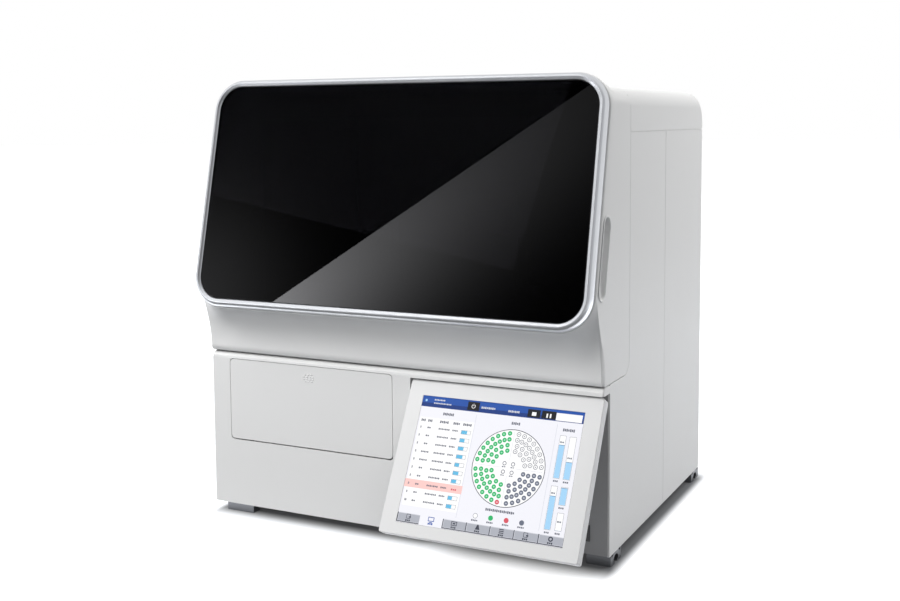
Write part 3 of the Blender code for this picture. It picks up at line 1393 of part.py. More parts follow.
def make_kits(foot):
    """Four lift-out reagent kits, a quarter of the ring each, with rows of capped wells."""
    x, y = CAROUSEL_X, CAROUSEL_Y
    outer, gap, top = CAROUSEL_R - KIT_EDGE, KIT_GAP / 2, foot + KIT_H
    for quarter, letter in enumerate("abcd"):
        start = quarter * 90
        trim0, trim1 = math.degrees(gap / KIT_R0), math.degrees(gap / outer)
        outline = arc((x, y), outer, start + trim1, start + 90 - trim1, 8)
        outline += arc((x, y), KIT_R0, start + 90 - trim0, start + trim0, 4)
        kit = piece(f"reagent_kit_{letter}", slab([outline], "Z", foot, top), "rack_blue", (x, y, foot))
        caps = []
        for radius, count in KIT_RINGS:
            for i in range(count):
                angle = math.radians(start + (i + 1 / 2) * 90 / count)
                at = (x + radius * math.cos(angle), y + radius * math.sin(angle), 0)
                neck = top + KIT_NECK_H
                profile = [(0, neck + KIT_CAP_H), (KIT_CAP_R, neck + KIT_CAP_H), (KIT_CAP_R, neck)]
                profile += [(KIT_NECK_R, neck), (KIT_NECK_R, top - KIT_NECK_H), (0, top - KIT_NECK_H)]
                caps.append(turned(profile, at, "Z", 8))
        unite(kit, f"kit_caps_{letter}", joined(caps))
        smooth(kit)


PORT_ANGLES = (math.radians(234), WASH_ANGLE)  # pipettor's port and wash port


def incubator_ring(angle):
    x = INCUBATOR_X + WELL_RING_R * math.cos(angle)
    return (x, INCUBATOR_Y + WELL_RING_R * math.sin(angle), 0)


def make_incubator():
    at = (INCUBATOR_X, INCUBATOR_Y, 0)
    low, top, floor = ON_DECK, ON_DECK + INCUBATOR_H, ON_DECK + INCUBATOR_FLOOR
    inner, stem = INCUBATOR_R - INCUBATOR_WALL, floor + TOUCH + ROTOR_T
    profile = [(0, stem), (SPINDLE_R, stem), (SPINDLE_R, floor), (inner, floor), (inner, top)]
    profile += [(INCUBATOR_R, top), (INCUBATOR_R, low), (0, low)]
    housing = piece("incubator_housing", turned(profile, at, "Z", 28), "housing_white")
    smooth(housing)
    under, bore = floor + TOUCH, SPINDLE_R + TOUCH
    profile = [(bore, under + ROTOR_T), (ROTOR_R, under + ROTOR_T), (ROTOR_R, under), (bore, under)]
    ring = turned(profile + profile[:1], at, "Z", 28)
    rotor = piece("incubator_rotor", ring, "anodised_dark", (INCUBATOR_X, INCUBATOR_Y, under))
    wells = []
    for i in range(WELL_COUNT):
        place = incubator_ring(WASH_ANGLE + i * 2 * math.pi / WELL_COUNT)
        wells.append(rod(WELL_R, place, "Z", under + INCUBATOR_FLOOR, under + ROTOR_T + OVERRUN, 6))
    cut(rotor, "rotor_wells", joined(wells))
    smooth(rotor)
    outline = [circle((INCUBATOR_X, INCUBATOR_Y), INCUBATOR_R, 28)]
    outline += [circle(incubator_ring(angle)[:2], PORT_R, 12) for angle in PORT_ANGLES]
    lid = slab(outline, "Z", top + TOUCH, top + TOUCH + INCUBATOR_LID_T)
    piece("incubator_lid", lid, "deck_grey")
    x0, half = INCUBATOR_X + INCUBATOR_R + TOUCH, READER_D / 2
    body = box(x0, x0 + READER_W, INCUBATOR_Y - half, INCUBATOR_Y + half, low, low + READER_H)
    reader = piece("reader", body, "anodised_dark")
    tube_at = (x0 + READER_W / 2, INCUBATOR_Y, 0)
    tower = rod(READER_TUBE_R, tube_at, "Z", low + READER_H / 2, low + READER_H + READER_TUBE_L, 20)
    unite(reader, "reader_tube", tower)
    smooth(reader)


def make_pipettor():
    x, y, low = PIPETTOR_X, PIPETTOR_Y, ON_DECK
    top, half = low + PIPETTOR_BASE_H, PIPETTOR_BASE / 2
    base = piece("pipettor_base", box(x - half, x + half, y - half, y + half, low, top), "housing_white")
    unite(base, "pipettor_collar", rod(COLLAR_R, (x, y, 0), "Z", top - COLLAR_H, top + COLLAR_H, 20))
    shaft_low = top - SHAFT_IN
    lift_room = shaft_low - PIPETTOR_LIFT - RUN
    bore = rod(SHAFT_R + TOUCH, (x, y, 0), "Z", lift_room, top + COLLAR_H + OVERRUN, 20)
    cut(base, "pipettor_bore", bore)
    smooth(base)
    arm_low = top + COLLAR_H + SHAFT_RISE
    shaft = rod(SHAFT_R, (x, y, 0), "Z", shaft_low, arm_low - TOUCH, 20)
    shaft = piece("pipettor_shaft", shaft, "bright_steel", (x, y, arm_low))
    smooth(shaft)
    arm_top = arm_low + ARM_H
    hub, tip = ARM_W / 2, ARM_TIP_R
    outline = arc((x, y), hub, 0, 180, 10) + arc((x, y - ARM_L), tip, 180, 360, 8)
    arm = piece("pipettor_arm", slab([outline], "Z", arm_low, arm_top), "housing_white", (x, y, arm_low))
    at, low = (x, y - ARM_L, 0), arm_low - PROBE_BODY_L
    profile = [(0, arm_low + PROBE_BODY_R), (PROBE_BODY_R, arm_low + PROBE_BODY_R), (PROBE_BODY_R, low)]
    profile += [(PROBE_R, low - PROBE_BODY_R), (PROBE_R, arm_low - PROBE_L), (0, arm_low - PROBE_L)]
    unite(arm, "pipette_probe", turned(profile, at, "Z", 12))
    smooth(arm)
    top, floor = ON_DECK + DISH_H, ON_DECK + DISH_FLOOR
    profile = [(0, floor), (DISH_BORE_R, floor), (DISH_BORE_R, top), (DISH_R, top), (DISH_R, ON_DECK)]
    dish = piece("wash_dish", turned(profile + [(0, ON_DECK)], at, "Z", 16), "housing_white")
    smooth(dish)


def make_wash_station():
    """Tower behind the incubator with a head that slides down over the wash port."""
    turn = Matrix.Rotation(WASH_ANGLE - math.pi / 2, 4, "Z")
    tower_at = (
        INCUBATOR_X + WASH_AT * math.cos(WASH_ANGLE), INCUBATOR_Y + WASH_AT * math.sin(WASH_ANGLE), 0
    )
    place = Matrix.Translation(tower_at) @ turn
    low, half_w, half_d = ON_DECK, WASH_TOWER_W / 2, WASH_TOWER_D / 2

    def placed(mesh):
        mesh.transform(place)
        return mesh

    body = box(-half_w, half_w, -half_d, half_d, low, low + WASH_TOWER_H)
    tower = piece("wash_tower", placed(body), "housing_white")
    rail_half, face = WASH_RAIL_W / 2, -half_d - WASH_RAIL_T
    rail = box(-rail_half, rail_half, face, 0, low, low + WASH_TOWER_H)
    unite(tower, "wash_rail", placed(rail))
    port = -(WASH_AT - WELL_RING_R)
    head_low, head_top, head_half = WASH_HEAD_Z, WASH_HEAD_Z + WASH_HEAD_H, WASH_HEAD_W / 2
    head = box(-head_half, head_half, port - WASH_NOSE, -half_d - TOUCH, head_low, head_top)
    pivot = (tower_at[0], tower_at[1], head_low)
    head = piece("wash_head", placed(head), "anodised_dark", pivot)
    channel = box(
        -rail_half - TOUCH, rail_half + TOUCH, face - TOUCH, OVERRUN, head_low - OVERRUN, head_top + OVERRUN
    )
    cut(head, "wash_channel", placed(channel))
    probes = []
    for step in (-1, 0, 1):
        tip = head_low - WASH_PROBE_L
        probes.append(rod(WASH_PROBE_R, (0, port + step * WASH_PITCH, 0), "Z", tip, head_low + WASH_NOSE, 8))
    unite(head, "wash_probes", placed(joined(probes)))


def make_bottles():
    x0 = BOTTLE_X[0] - BOTTLE_R - HOLDER_EDGE
    x1 = BOTTLE_X[1] + BOTTLE_R + HOLDER_EDGE
    y0, y1 = BOTTLE_Y - BOTTLE_R - HOLDER_EDGE, BOTTLE_Y + BOTTLE_R + HOLDER_EDGE
    outline = rounded(x0, x1, y0, y1, HOLDER_EDGE)
    holder = piece("bottle_holder", slab([outline], "Z", ON_DECK, ON_DECK + HOLDER_H), "deck_grey")
    floor = ON_DECK + HOLDER_EDGE
    bores = []
    for name, x in zip(("wash", "buffer"), BOTTLE_X):
        at = (x, BOTTLE_Y, 0)
        bores.append(rod(BOTTLE_R + RUN, at, "Z", floor, ON_DECK + HOLDER_H + OVERRUN, 20))
        low = floor + TOUCH
        shoulder, neck = low + BOTTLE_H - BOTTLE_NECK_R, low + BOTTLE_H
        cap_low, cap_top = neck + TOUCH, neck + BOTTLE_CAP_H
        profile = [(0, cap_top), (BOTTLE_CAP_R, cap_top), (BOTTLE_CAP_R, cap_low)]
        profile += [(BOTTLE_NECK_R, cap_low), (BOTTLE_NECK_R, neck), (BOTTLE_R, shoulder)]
        bottle = turned(profile + [(BOTTLE_R, low), (0, low)], at, "Z", 20)
        smooth(piece(f"{name}_bottle", bottle, "bottle_white"))
    cut(holder, "bottle_bores", joined(bores))


def make_pump():
    """Syringe pump on the inner wall: a plunger on a carriage in a groove, under a fixed barrel."""
    half, low = PUMP_W / 2, ON_DECK
    x, rear = PUMP_X, WALL_Y - TOUCH
    front = rear - PUMP_D
    pump = piece("syringe_pump", box(x - half, x + half, front, rear, low, low + PUMP_H), "housing_white")
    groove = PUMP_GROOVE_W / 2
    z0, z1 = low + PUMP_GROOVE_Z0, low + PUMP_GROOVE_Z1
    cut(pump, "pump_groove", box(x - groove, x + groove, front - OVERRUN, front + PUMP_GROOVE_D, z0, z1))
    axis = (x, front - PUMP_AXIS_OUT, 0)
    barrel_low = low + PUMP_BARREL_UP
    barrel_top = barrel_low + PUMP_BARREL_L
    clamp = PUMP_CLAMP_W / 2
    ends = (x - clamp, x + clamp, axis[1] - clamp, front + TOUCH)
    unite(pump, "pump_clamp", box(*ends, barrel_top - PUMP_CLAMP_H, barrel_top))
    unite(pump, "pump_barrel", rod(PUMP_BARREL_R, axis, "Z", barrel_low, barrel_top + TOUCH, 16))
    bore_top = barrel_top - PUMP_CLAMP_H / 2
    cut(pump, "pump_bore", rod(PUMP_BORE_R, axis, "Z", barrel_low - OVERRUN, bore_top, 12))
    smooth(pump)
    z = low + PUMP_CARRIAGE_UP
    width = groove - TOUCH
    ends = (x - width, x + width, axis[1] - PUMP_BARREL_R, front + PUMP_GROOVE_D - TOUCH)
    carriage = box(*ends, z, z + PUMP_CARRIAGE_H)
    plunger = piece("pump_plunger", carriage, "bright_steel", (axis[0], axis[1], z))
    rod_low = z + PUMP_CARRIAGE_H / 2
    unite(plunger, "plunger_rod", rod(PUMP_PLUNGER_R, axis, "Z", rod_low, z + PUMP_PLUNGER_L, 12))


# Rear side and electronics


def fitting_places():
    return [FITTING_X + i * FITTING_PITCH for i in range(FITTING_COUNT)]


def make_fan():
    rear = REAR_PANEL_Y - TOUCH
    front, x, z, half = rear - FAN_T, FAN_X, FAN_Z, FAN_SIZE / 2
    outline = rounded(x - half, x + half, z - half, z + half, FAN_CORNER_R, 3)
    frame = piece("fan_frame", slab([outline], "Y", front, rear), "black_plastic")
    back = front + FAN_STRUT_T
    at = (x, 0, z)
    cut(frame, "fan_bore", rod(FAN_BORE_R, at, "Y", back, rear + OVERRUN, 28))
    openings = []
    inner, outer = FAN_HUB_R, FAN_BORE_R - RUN
    for quarter in range(4):
        trim0 = math.degrees(FAN_STRUT_W / 2 / inner)
        trim1 = math.degrees(FAN_STRUT_W / 2 / outer)
        start = quarter * 90
        opening = arc((x, z), outer, start + trim1, start + 90 - trim1, 6)
        opening += arc((x, z), inner, start + 90 - trim0, start + trim0, 4)
        openings.append(slab([opening], "Y", front - OVERRUN, back + FAN_STRUT_T))
    cut(frame, "fan_openings", joined(openings))
    pin_end = back + FAN_ROTOR_T / 2
    unite(frame, "fan_pin", rod(FAN_PIN_R, at, "Y", back - FAN_STRUT_T / 2, pin_end, 10))
    r0 = back + RUN
    hub = rod(FAN_HUB_R - TOUCH, at, "Y", r0, r0 + FAN_ROTOR_T, 24)
    rotor = piece("fan_rotor", hub, "black_plastic", (x, r0, z))
    blades = []
    middle, deep = r0 + FAN_ROTOR_T / 2, FAN_BLADE_W / 2
    for i in range(FAN_BLADES):
        blade = box(FAN_HUB_R / 2, FAN_BLADE_R, -deep, deep, -FAN_BLADE_T / 2, FAN_BLADE_T / 2)
        pitch = Matrix.Rotation(FAN_PITCH, 4, "X")
        spin = Matrix.Rotation(i * 2 * math.pi / FAN_BLADES, 4, "Y")
        blade.transform(Matrix.Translation((x, middle, z)) @ spin @ pitch)
        blades.append(blade)
    for i, blade in enumerate(blades):
        unite(rotor, f"fan_blade_{i}", blade)
    cut(rotor, "rotor_bore", rod(FAN_PIN_R + TOUCH, at, "Y", r0 - OVERRUN, pin_end + TOUCH, 12))


def make_rear_fittings():
    outer = REAR_PANEL_Y + REAR_PANEL_T + TOUCH
    x, z, w, h = INLET_X, INLET_Z, INLET_W / 2, INLET_H / 2
    inner = REAR_PANEL_Y - INLET_DEEP
    fw, fh = w + INLET_FLANGE, h + INLET_FLANGE
    end = outer + INLET_FLANGE_T
    body = box(x - w, x + w, inner, (outer + end) / 2, z - h, z + h)
    inlet = piece("power_inlet", body, "black_plastic")
    unite(inlet, "inlet_flange", box(x - fw, x + fw, outer, end, z - fh, z + fh))
    t = INLET_WALL
    cut(inlet, "inlet_pocket", box(x + t - w, x + w - t, inner + t, end + OVERRUN, z + t - h, z + h - t))
    pins = []
    half_w, half_h = INLET_PIN_W / 2, INLET_PIN_H / 2
    for step, rise in ((-1, -1), (0, 1), (1, -1)):
        px, pz = x + step * INLET_PIN_PITCH, z + rise * half_h
        ends = (px - half_w, px + half_w, inner + t / 2, inner + INLET_PIN_L)
        pins.append(box(*ends, pz - half_h, pz + half_h))
    unite(inlet, "inlet_pins", joined(pins))
    x, z, w, h = PORT_BLOCK_X, PORT_BLOCK_Z, PORT_BLOCK_W / 2, PORT_BLOCK_H / 2
    block = box(x - w, x + w, REAR_PANEL_Y - PORT_BLOCK_T, outer, z - h, z + h)
    ports = piece("data_ports", block, "bright_steel")
    jacks = []
    for i in range(JACK_COUNT):
        px = x + (i - (JACK_COUNT - 1) / 2) * JACK_PITCH
        half_w, half_h = JACK_W / 2, JACK_H / 2
        jacks.append(
            box(px - half_w, px + half_w, outer - JACK_DEEP, outer + OVERRUN, z - half_h, z + half_h)
        )
    cut(ports, "port_jacks", joined(jacks))
    make_manifold(outer)


def make_manifold(outer):
    """Four hose barbs on one plate, through holes in the rear panel."""
    places, plate = fitting_places(), outer + FITTING_NUT_T
    x0, x1, r = places[0] - FITTING_R, places[-1] + FITTING_R, FITTING_R
    outline = rounded(x0, x1, FITTING_Z - r, FITTING_Z + r, FITTING_BARB_R)
    manifold = piece("fluid_manifold", slab([outline], "Y", outer, plate), "black_plastic")
    end, barb, ridge = REAR_PANEL_Y + FITTING_L, FITTING_BARB_R, FITTING_BARB_R + FITTING_RIDGE
    barbs = []
    for x in places:
        middle, inner = (end + plate) / 2, REAR_PANEL_Y - FITTING_NUT_T
        profile = [(0, outer), (FITTING_BORE_R, outer), (FITTING_BORE_R, end), (barb, end)]
        profile += [(ridge, middle), (barb, middle), (barb, inner), (0, inner)]
        barbs.append(turned(profile, (x, 0, FITTING_Z), "Y", 8))
    unite(manifold, "hose_barbs", joined(barbs))
    bores = [rod(FITTING_BORE_R, (x, 0, FITTING_Z), "Y", outer, end, 8) for x in places]
    cut(manifold, "hose_bores", joined(bores))


def make_electronics():
    low, x0, x1, y0, y1 = TRAY_T + TOUCH, SUPPLY_X0, SUPPLY_X1, SUPPLY_Y0, SUPPLY_Y1
    top = low + SUPPLY_H
    supply = piece("power_supply", box(x0, x1, y0, y1, low, top), "sheet_steel")
    slots = []
    for i in range(SUPPLY_SLOTS):
        x = x0 + (x1 - x0) * (i + 1) / (SUPPLY_SLOTS + 1)
        ends = (x - SUPPLY_SLOT_W / 2, x + SUPPLY_SLOT_W / 2, y0 + SUPPLY_SLOT_END, y1 - SUPPLY_SLOT_END)
        slots.append(box(*ends, top - SUPPLY_SLOT_DEEP, top + OVERRUN))
    cut(supply, "supply_slots", joined(slots))
    x0, x1, y0, y1 = BOARD_X0, BOARD_X1, BOARD_Y0, BOARD_Y1
    foot = low + STANDOFF_H
    top = foot + BOARD_T
    board = piece("control_board", box(x0, x1, y0, y1, foot, top), "board_green")
    posts = []
    for x in (x0 + STANDOFF_IN, x1 - STANDOFF_IN):
        for y in (y0 + STANDOFF_IN, y1 - STANDOFF_IN):
            posts.append(rod(STANDOFF_R, (x, y, 0), "Z", low, foot + BOARD_T / 2, 8))
    unite(board, "board_posts", joined(posts))
    mid_x, mid_y, sink = (x0 + x1) / 2, (y0 + y1) / 2, HEATSINK_W / 2
    base_top = top + HEATSINK_BASE_H
    chips = [box(mid_x - sink, mid_x + sink, mid_y - sink, mid_y + sink, foot + BOARD_T / 2, base_top)]
    for x in ((x0 + mid_x) / 2, (x1 + mid_x) / 2):
        half = CHIP_W / 2
        chips.append(box(x - half, x + half, mid_y - half, mid_y + half, foot + BOARD_T / 2, top + CHIP_H))
    for x in (x0 + CONNECTOR_W, x1 - CONNECTOR_W):
        half = CONNECTOR_W / 2
        rear = y1 - STANDOFF_IN / 2
        ends = (x - half, x + half, rear - CONNECTOR_D, rear)
        chips.append(box(*ends, foot + BOARD_T / 2, top + CONNECTOR_H))
    unite(board, "board_chips", joined(chips))
    fins = []
    for i in range(HEATSINK_FINS):
        x = mid_x - sink + (HEATSINK_W - FIN_T) * i / (HEATSINK_FINS - 1)
        fins.append(box(x, x + FIN_T, mid_y - sink, mid_y + sink, top + TOUCH, top + HEATSINK_H))
    unite(board, "board_fins", joined(fins))


make_feet()
make_tray()
make_lower_frame()
make_upper_frame()
make_deck()
make_fascia()
make_recess_panel()
make_side_panels()
make_top_cover()
make_rear_panel()
make_hood_shell()
make_lid_frame()
make_lid_pane()
make_grip_cups()
make_hood_hinge()
make_screen()
make_switch()
make_door()
make_bay()
make_carousel()
make_incubator()
make_pipettor()
make_wash_station()
make_bottles()
make_pump()
make_fan()
make_rear_fittings()
make_electronics()
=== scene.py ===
"""Immunoassay analyzer: the visual model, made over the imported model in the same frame.

The hood, its silver frame, the dark pane, the grip cups and the touchscreen's picture are new
surfaces worked out with numpy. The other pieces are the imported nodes, or copies of them with
their round faces shaded smooth. Units are metres, +Z is up and -Y is the front.
"""

import json
import math

import bmesh
import bpy
import numpy as np
from bpy.props import FloatProperty, FloatVectorProperty, PointerProperty
from mathutils import Matrix, Vector


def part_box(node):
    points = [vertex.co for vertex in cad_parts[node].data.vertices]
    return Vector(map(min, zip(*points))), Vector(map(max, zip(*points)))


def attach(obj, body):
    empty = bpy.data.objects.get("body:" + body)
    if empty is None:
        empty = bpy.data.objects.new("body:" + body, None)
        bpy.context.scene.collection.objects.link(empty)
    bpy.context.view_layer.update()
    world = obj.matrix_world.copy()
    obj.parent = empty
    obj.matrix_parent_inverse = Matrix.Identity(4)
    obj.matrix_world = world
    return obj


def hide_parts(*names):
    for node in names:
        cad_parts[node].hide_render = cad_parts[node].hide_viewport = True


bl_info = {
    "name": "Immunoassay Analyzer",
    "version": (1, 0, 0),
    "blender": (4, 5, 0),
    "location": "3D View > Sidebar > Analyzer",
    "description": "Covers, screen picture, finishes and studio for a benchtop immunoassay analyzer",
    "category": "Object",
}

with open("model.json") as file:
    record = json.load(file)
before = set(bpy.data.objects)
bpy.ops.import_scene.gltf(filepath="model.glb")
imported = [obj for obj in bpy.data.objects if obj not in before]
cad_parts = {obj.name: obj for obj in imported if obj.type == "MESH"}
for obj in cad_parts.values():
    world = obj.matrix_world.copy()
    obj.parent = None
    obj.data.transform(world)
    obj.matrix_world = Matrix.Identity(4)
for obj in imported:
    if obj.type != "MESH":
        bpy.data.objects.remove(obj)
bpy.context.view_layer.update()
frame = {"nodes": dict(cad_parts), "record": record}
NODES = frame["nodes"]
SLOT_OF = {part["node"]: part["material_slot"] for part in frame["record"]["subparts"]}
BODIES = frame["record"]["behaviour"]["bodies"]
BODY_OF = {node: body for body, members in BODIES.items() for node in members}

# The fascia's front plane and the body's lower edge, which the sizes below are measured from
FASCIA_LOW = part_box("fascia")[0]
NODES_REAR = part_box("rear_panel")[1].y
ORIGIN = Vector((0, FASCIA_LOW.y, FASCIA_LOW.z))
# Gap between pieces that lie against each other
TOUCH = 0.0003


def place(points):
    """Points measured from the fascia plane and the body's lower edge, put where the object stands."""
    return np.asarray(points, float) + np.array(ORIGIN)


def at(x, y, z):
    """Points from their coordinates, which may be numbers or arrays."""
    return np.stack(np.broadcast_arrays(x, y, z), axis=-1)


def arc(x, y, radius, a):
    """The points (x + r cos a, y + r sin a)."""
    return np.stack([x + radius * np.cos(a), y + radius * np.sin(a)], axis=-1)


def rounding(across, out, wide, deep, degrees):
    """A round's section: the points (across + wide sin a, out - deep (1 - cos a)) for each angle."""
    return [(across + wide * math.sin(a), out - deep * (1 - math.cos(a))) for a in np.radians(degrees)]


# Sizes and colours that a user would change


def number(name, description, default):
    return FloatProperty(name=name, description=description, default=default)


def length(name, description, default):
    return FloatProperty(name=name, description=description, default=default, unit="LENGTH")


def power(name, description, default):
    return FloatProperty(name=name, description=description, default=default, unit="POWER")


def turned(name, description, degrees):
    return FloatProperty(name=name, description=description, default=math.radians(degrees), subtype="ANGLE")


def colour(name, description, *default):
    return FloatVectorProperty(name=name, description=description, subtype="COLOR", size=3, default=default)


class HoodSizes(bpy.types.PropertyGroup):
    pane_width: length("Pane width", "Dark pane, across", 0.6225)
    pane_height: length("Pane height", "Dark pane, along its slope", 0.330)
    pane_radius: length("Pane corner", "Corner radius of the dark pane", 0.037)
    pane_lean: turned("Lean", "How far the pane leans back", 13.2)
    pane_y: length("Pane depth", "Middle of the pane, behind the fascia plane", -0.0114)
    pane_z: length("Pane middle", "Middle of the pane, above the body's lower edge", 0.4952)
    frame_width: length("Frame width", "Silver frame", 0.01135)
    frame_crest: length("Frame crest", "Height of the frame's crest", 0.0022)
    wall: length("Wall", "Wall of the moulded hood", 0.003)
    side: length("Half width", "Half the body's width", 0.325)
    cup_length: length("Grip length", "Grip cup in the cheek", 0.111)
    cup_width: length("Grip width", "Grip cup in the cheek", 0.024)
    cup_depth: length("Grip depth", "Grip cup in the cheek", 0.014)


class Colours(bpy.types.PropertyGroup):
    housing: colour("Housing", "Moulded covers", 0.735, 0.735, 0.73)
    screen: colour("Screen case", "Case of the touchscreen", 0.635, 0.635, 0.635)
    silver: colour("Frame", "Satin silver frame round the pane", 0.60, 0.615, 0.64)
    pane: colour("Pane", "Tint of the dark pane", 0.009, 0.009, 0.011)
    # The recess colour is mid-grey partly as painted shade, for the shade of the touchscreen on the panel
    # behind it
    recess: colour("Recess", "Panel behind the touchscreen", 0.38, 0.38, 0.385)
    floor: colour("Floor", "Studio floor", 0.80, 0.83, 0.88)


class StageSettings(bpy.types.PropertyGroup):
    lens: number("Lens", "Focal length in millimetres", 47.566)
    shift: number("Shift", "Upward shift of the camera's frame", -0.0836)
    yaw: turned("Yaw", "Camera to the right of the front", 26.393)
    pitch: turned("Pitch", "Camera looks down by this", 5.115)
    roll: turned("Roll", "Camera's roll", -0.413)
    world: number("World light", "Strength of the even light", 0.12)
    key: power("Key light", "Power of the large light at the front left", 122.0)
    high: power("High light", "Power of the light above the key", 45.0)
    fill: power("Fill light", "Power of the light at the front right", 13.0)
    rear: power("Rear light", "Power of the light at the rear right", 42.0)
    back: power("Back light", "Power of the light behind the body", 20.0)


CAMERA_AT = ORIGIN + Vector((0.8388, -1.4949, 0.6041))

# Meshes

# Points nearer than this are one point, and edges sharper than this, in degrees, stay sharp
MERGE = 2e-6
SHARP = 32


def surface(name, rows, close_rows=False, close_points=False, cap_first=False, cap_last=False):
    """A mesh over a grid of points, one quad between neighbouring rows and points.

    rows is an array of shape (rows, points, 3). Closing joins the last row or point to the first,
    and a cap is one flat face over the first or last row.
    """
    rows = np.asarray(rows, float)
    count_r, count_p = rows.shape[:2]
    index = np.arange(count_r * count_p).reshape(count_r, count_p)
    if close_rows:
        index = np.vstack([index, index[:1]])
    if close_points:
        index = np.hstack([index, index[:, :1]])
    quads = np.stack([index[:-1, :-1], index[:-1, 1:], index[1:, 1:], index[1:, :-1]], axis=-1)
    faces = quads.reshape(-1, 4).tolist()
    if cap_first:
        faces.append(list(range(count_p)))
    if cap_last:
        faces.append([(count_r - 1) * count_p + i for i in range(count_p)])
    mesh = bpy.data.meshes.new(name)
    mesh.from_pydata(rows.reshape(-1, 3).tolist(), [], faces)
    return mesh


def smooth(mesh, angle=SHARP):
    mesh.shade_smooth()
    mesh.set_sharp_from_angle(angle=math.radians(angle))
    return mesh


def tidy(mesh, merge=MERGE, angle=SHARP, outwards=True):
    """Merges doubles, turns the faces outwards and shades smooth except over sharp edges."""
    bm = bmesh.new()
    bm.from_mesh(mesh)
    bmesh.ops.remove_doubles(bm, verts=bm.verts, dist=merge)
    bmesh.ops.dissolve_degenerate(bm, edges=bm.edges, dist=merge)
    if outwards:
        bmesh.ops.recalc_face_normals(bm, faces=bm.faces)
    bm.to_mesh(mesh)
    bm.free()
    return smooth(mesh, angle)


def solid(name, rows, **settings):
    """A closed piece's mesh: rows that are each a loop, with a flat cap at both ends."""
    return tidy(surface(name, rows, close_points=True, cap_first=True, cap_last=True), **settings)


def loose(name, mesh):
    obj = bpy.data.objects.new(name, mesh)
    bpy.context.scene.collection.objects.link(obj)
    return obj


def piece(name, mesh, finish_name, body, *stands_for, slot=None):
    """A new piece at the origin, with its finish, on the body that carries it."""
    obj = loose(name, mesh)
    mesh.materials.clear()
    mesh.materials.append(finish(finish_name))
    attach(obj, body)
    if stands_for:
        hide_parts(*stands_for)
    return obj


def modifier(obj, kind, **values):
    made = obj.modifiers.new(kind.lower(), kind)
    for key, value in values.items():
        setattr(made, key, value)


def keep_flat(obj):
    """Shades large faces flat up to their rounded edges, by weighing the normals with the areas."""
    modifier(obj, "WEIGHTED_NORMAL", keep_sharp=True)


def applied(obj):
    """The object's mesh with its modifiers applied, as a new mesh."""
    graph = bpy.context.evaluated_depsgraph_get()
    graph.update()
    return bpy.data.meshes.new_from_object(obj.evaluated_get(graph))


def drop(*objects):
    for obj in objects:
        mesh = obj.data
        bpy.data.objects.remove(obj)
        if mesh.users == 0:
            bpy.data.meshes.remove(mesh)


# Lid outline: a rounded rectangle, leaning back, with these steps in each corner and side

LID_CORNER_STEPS = 28
LID_RUN_STEPS = 8


def lid_point(across, up, out):
    """across along X, up along the pane's slope and out along its normal, for whole arrays."""
    s = bpy.context.scene.hood_sizes
    y = s.pane_y + up * math.sin(s.pane_lean) - out * math.cos(s.pane_lean)
    z = s.pane_z + up * math.cos(s.pane_lean) + out * math.sin(s.pane_lean)
    return at(across, y, z)


def rounded_loop(half_w, half_h, radius):
    """A closed rounded rectangle: four quarter arcs about the corner centres, with straight runs.

    Each arc is centre + radius (cos a, sin a), and each run joins two arcs by equal steps.
    """
    w, h = half_w - radius, half_h - radius
    centres = np.array([(w, -h), (w, h), (-w, h), (-w, -h)])
    starts = np.radians([-90, 0, 90, 180])
    steps = np.linspace(0, math.pi / 2, LID_CORNER_STEPS + 1)
    angles = starts[:, None] + steps[None, :]
    arcs = centres[:, None, :] + arc(0, 0, radius, angles)
    share = np.linspace(0, 1, LID_RUN_STEPS + 2)[1:-1]
    ends, nexts = arcs[:, -1], np.roll(arcs[:, 0], -1, axis=0)
    runs = ends[:, None, :] + (nexts - ends)[:, None, :] * share[None, :, None]
    return np.concatenate([arcs, runs], axis=1).reshape(-1, 2)


def lid_loop(spread, out):
    s = bpy.context.scene.hood_sizes
    half_w, half_h = s.pane_width / 2 + spread, s.pane_height / 2 + spread
    return lid_point(*rounded_loop(half_w, half_h, s.pane_radius + spread).T, out)


def swept_ring(section):
    """A closed section carried round the lid: each (spread, out) of it is one loop."""
    return place([lid_loop(spread, out) for spread, out in section])


# Hood


# Sections of the outline, from the middle of its foot to the middle of its head, and their columns
BOTTOM, CORNER, FAN, SIDE, SHOULDER, TOP = range(6)
SECTION_STEPS = (10, 22, 26, 10, 18, 10)
SWEEP_STEPS = 36
# The share of the straight side below which the columns fan out to the cheek's lower corner
FAN_SHARE = 0.36
# The hood's edge round the lid: how far it lies outside the pane, its roll and its inner flange
LIP_OUT = 0.0105
LIP_ROLL = 0.0026
FLANGE_IN = 0.004
FRAME_BACK = 0.009
# The body's section behind the hood: its seam, its top and the radii of its corners
SEAM_Y = 0.111
SEAM = 0.0012
BODY_TOP = 0.646
CORNER_R = 0.026
FOOT_R = 0.022
LOW_Z = 0.2433
LOW_IN = 0.007
# The cove under the lid: its face, its bend, and the share of a column above its lower lip
COVE_Y = -0.003
COVE_LOW_Z = 0.250
COVE_BEND_Z = 0.292
COVE_LEAD = 0.026
COVE_SHARE = 7 / 9
# The cheek's curve, how soon it reaches full width, and the flare over the lid
CHEEK_LEAD_Y = 0.011
CHEEK_LEAD_Z = 0.050
CHEEK_SPREAD = 4.5
FLARE_LEAD = 0.010
FLARE_END_Y = 0.070
SHOULDER_BLEND = 0.3
# A point inside the hood: the outer normals point away from it
HOOD_MIDDLE = (0, 0.06, 0.45)


def stations():
    """Section number and share along it for every column of the hood's right half."""
    kind = np.concatenate([np.full(n, k) for k, n in enumerate(SECTION_STEPS)] + [[TOP]])
    share = np.concatenate([np.arange(n) / n for n in SECTION_STEPS] + [[1.0]])
    return kind, share


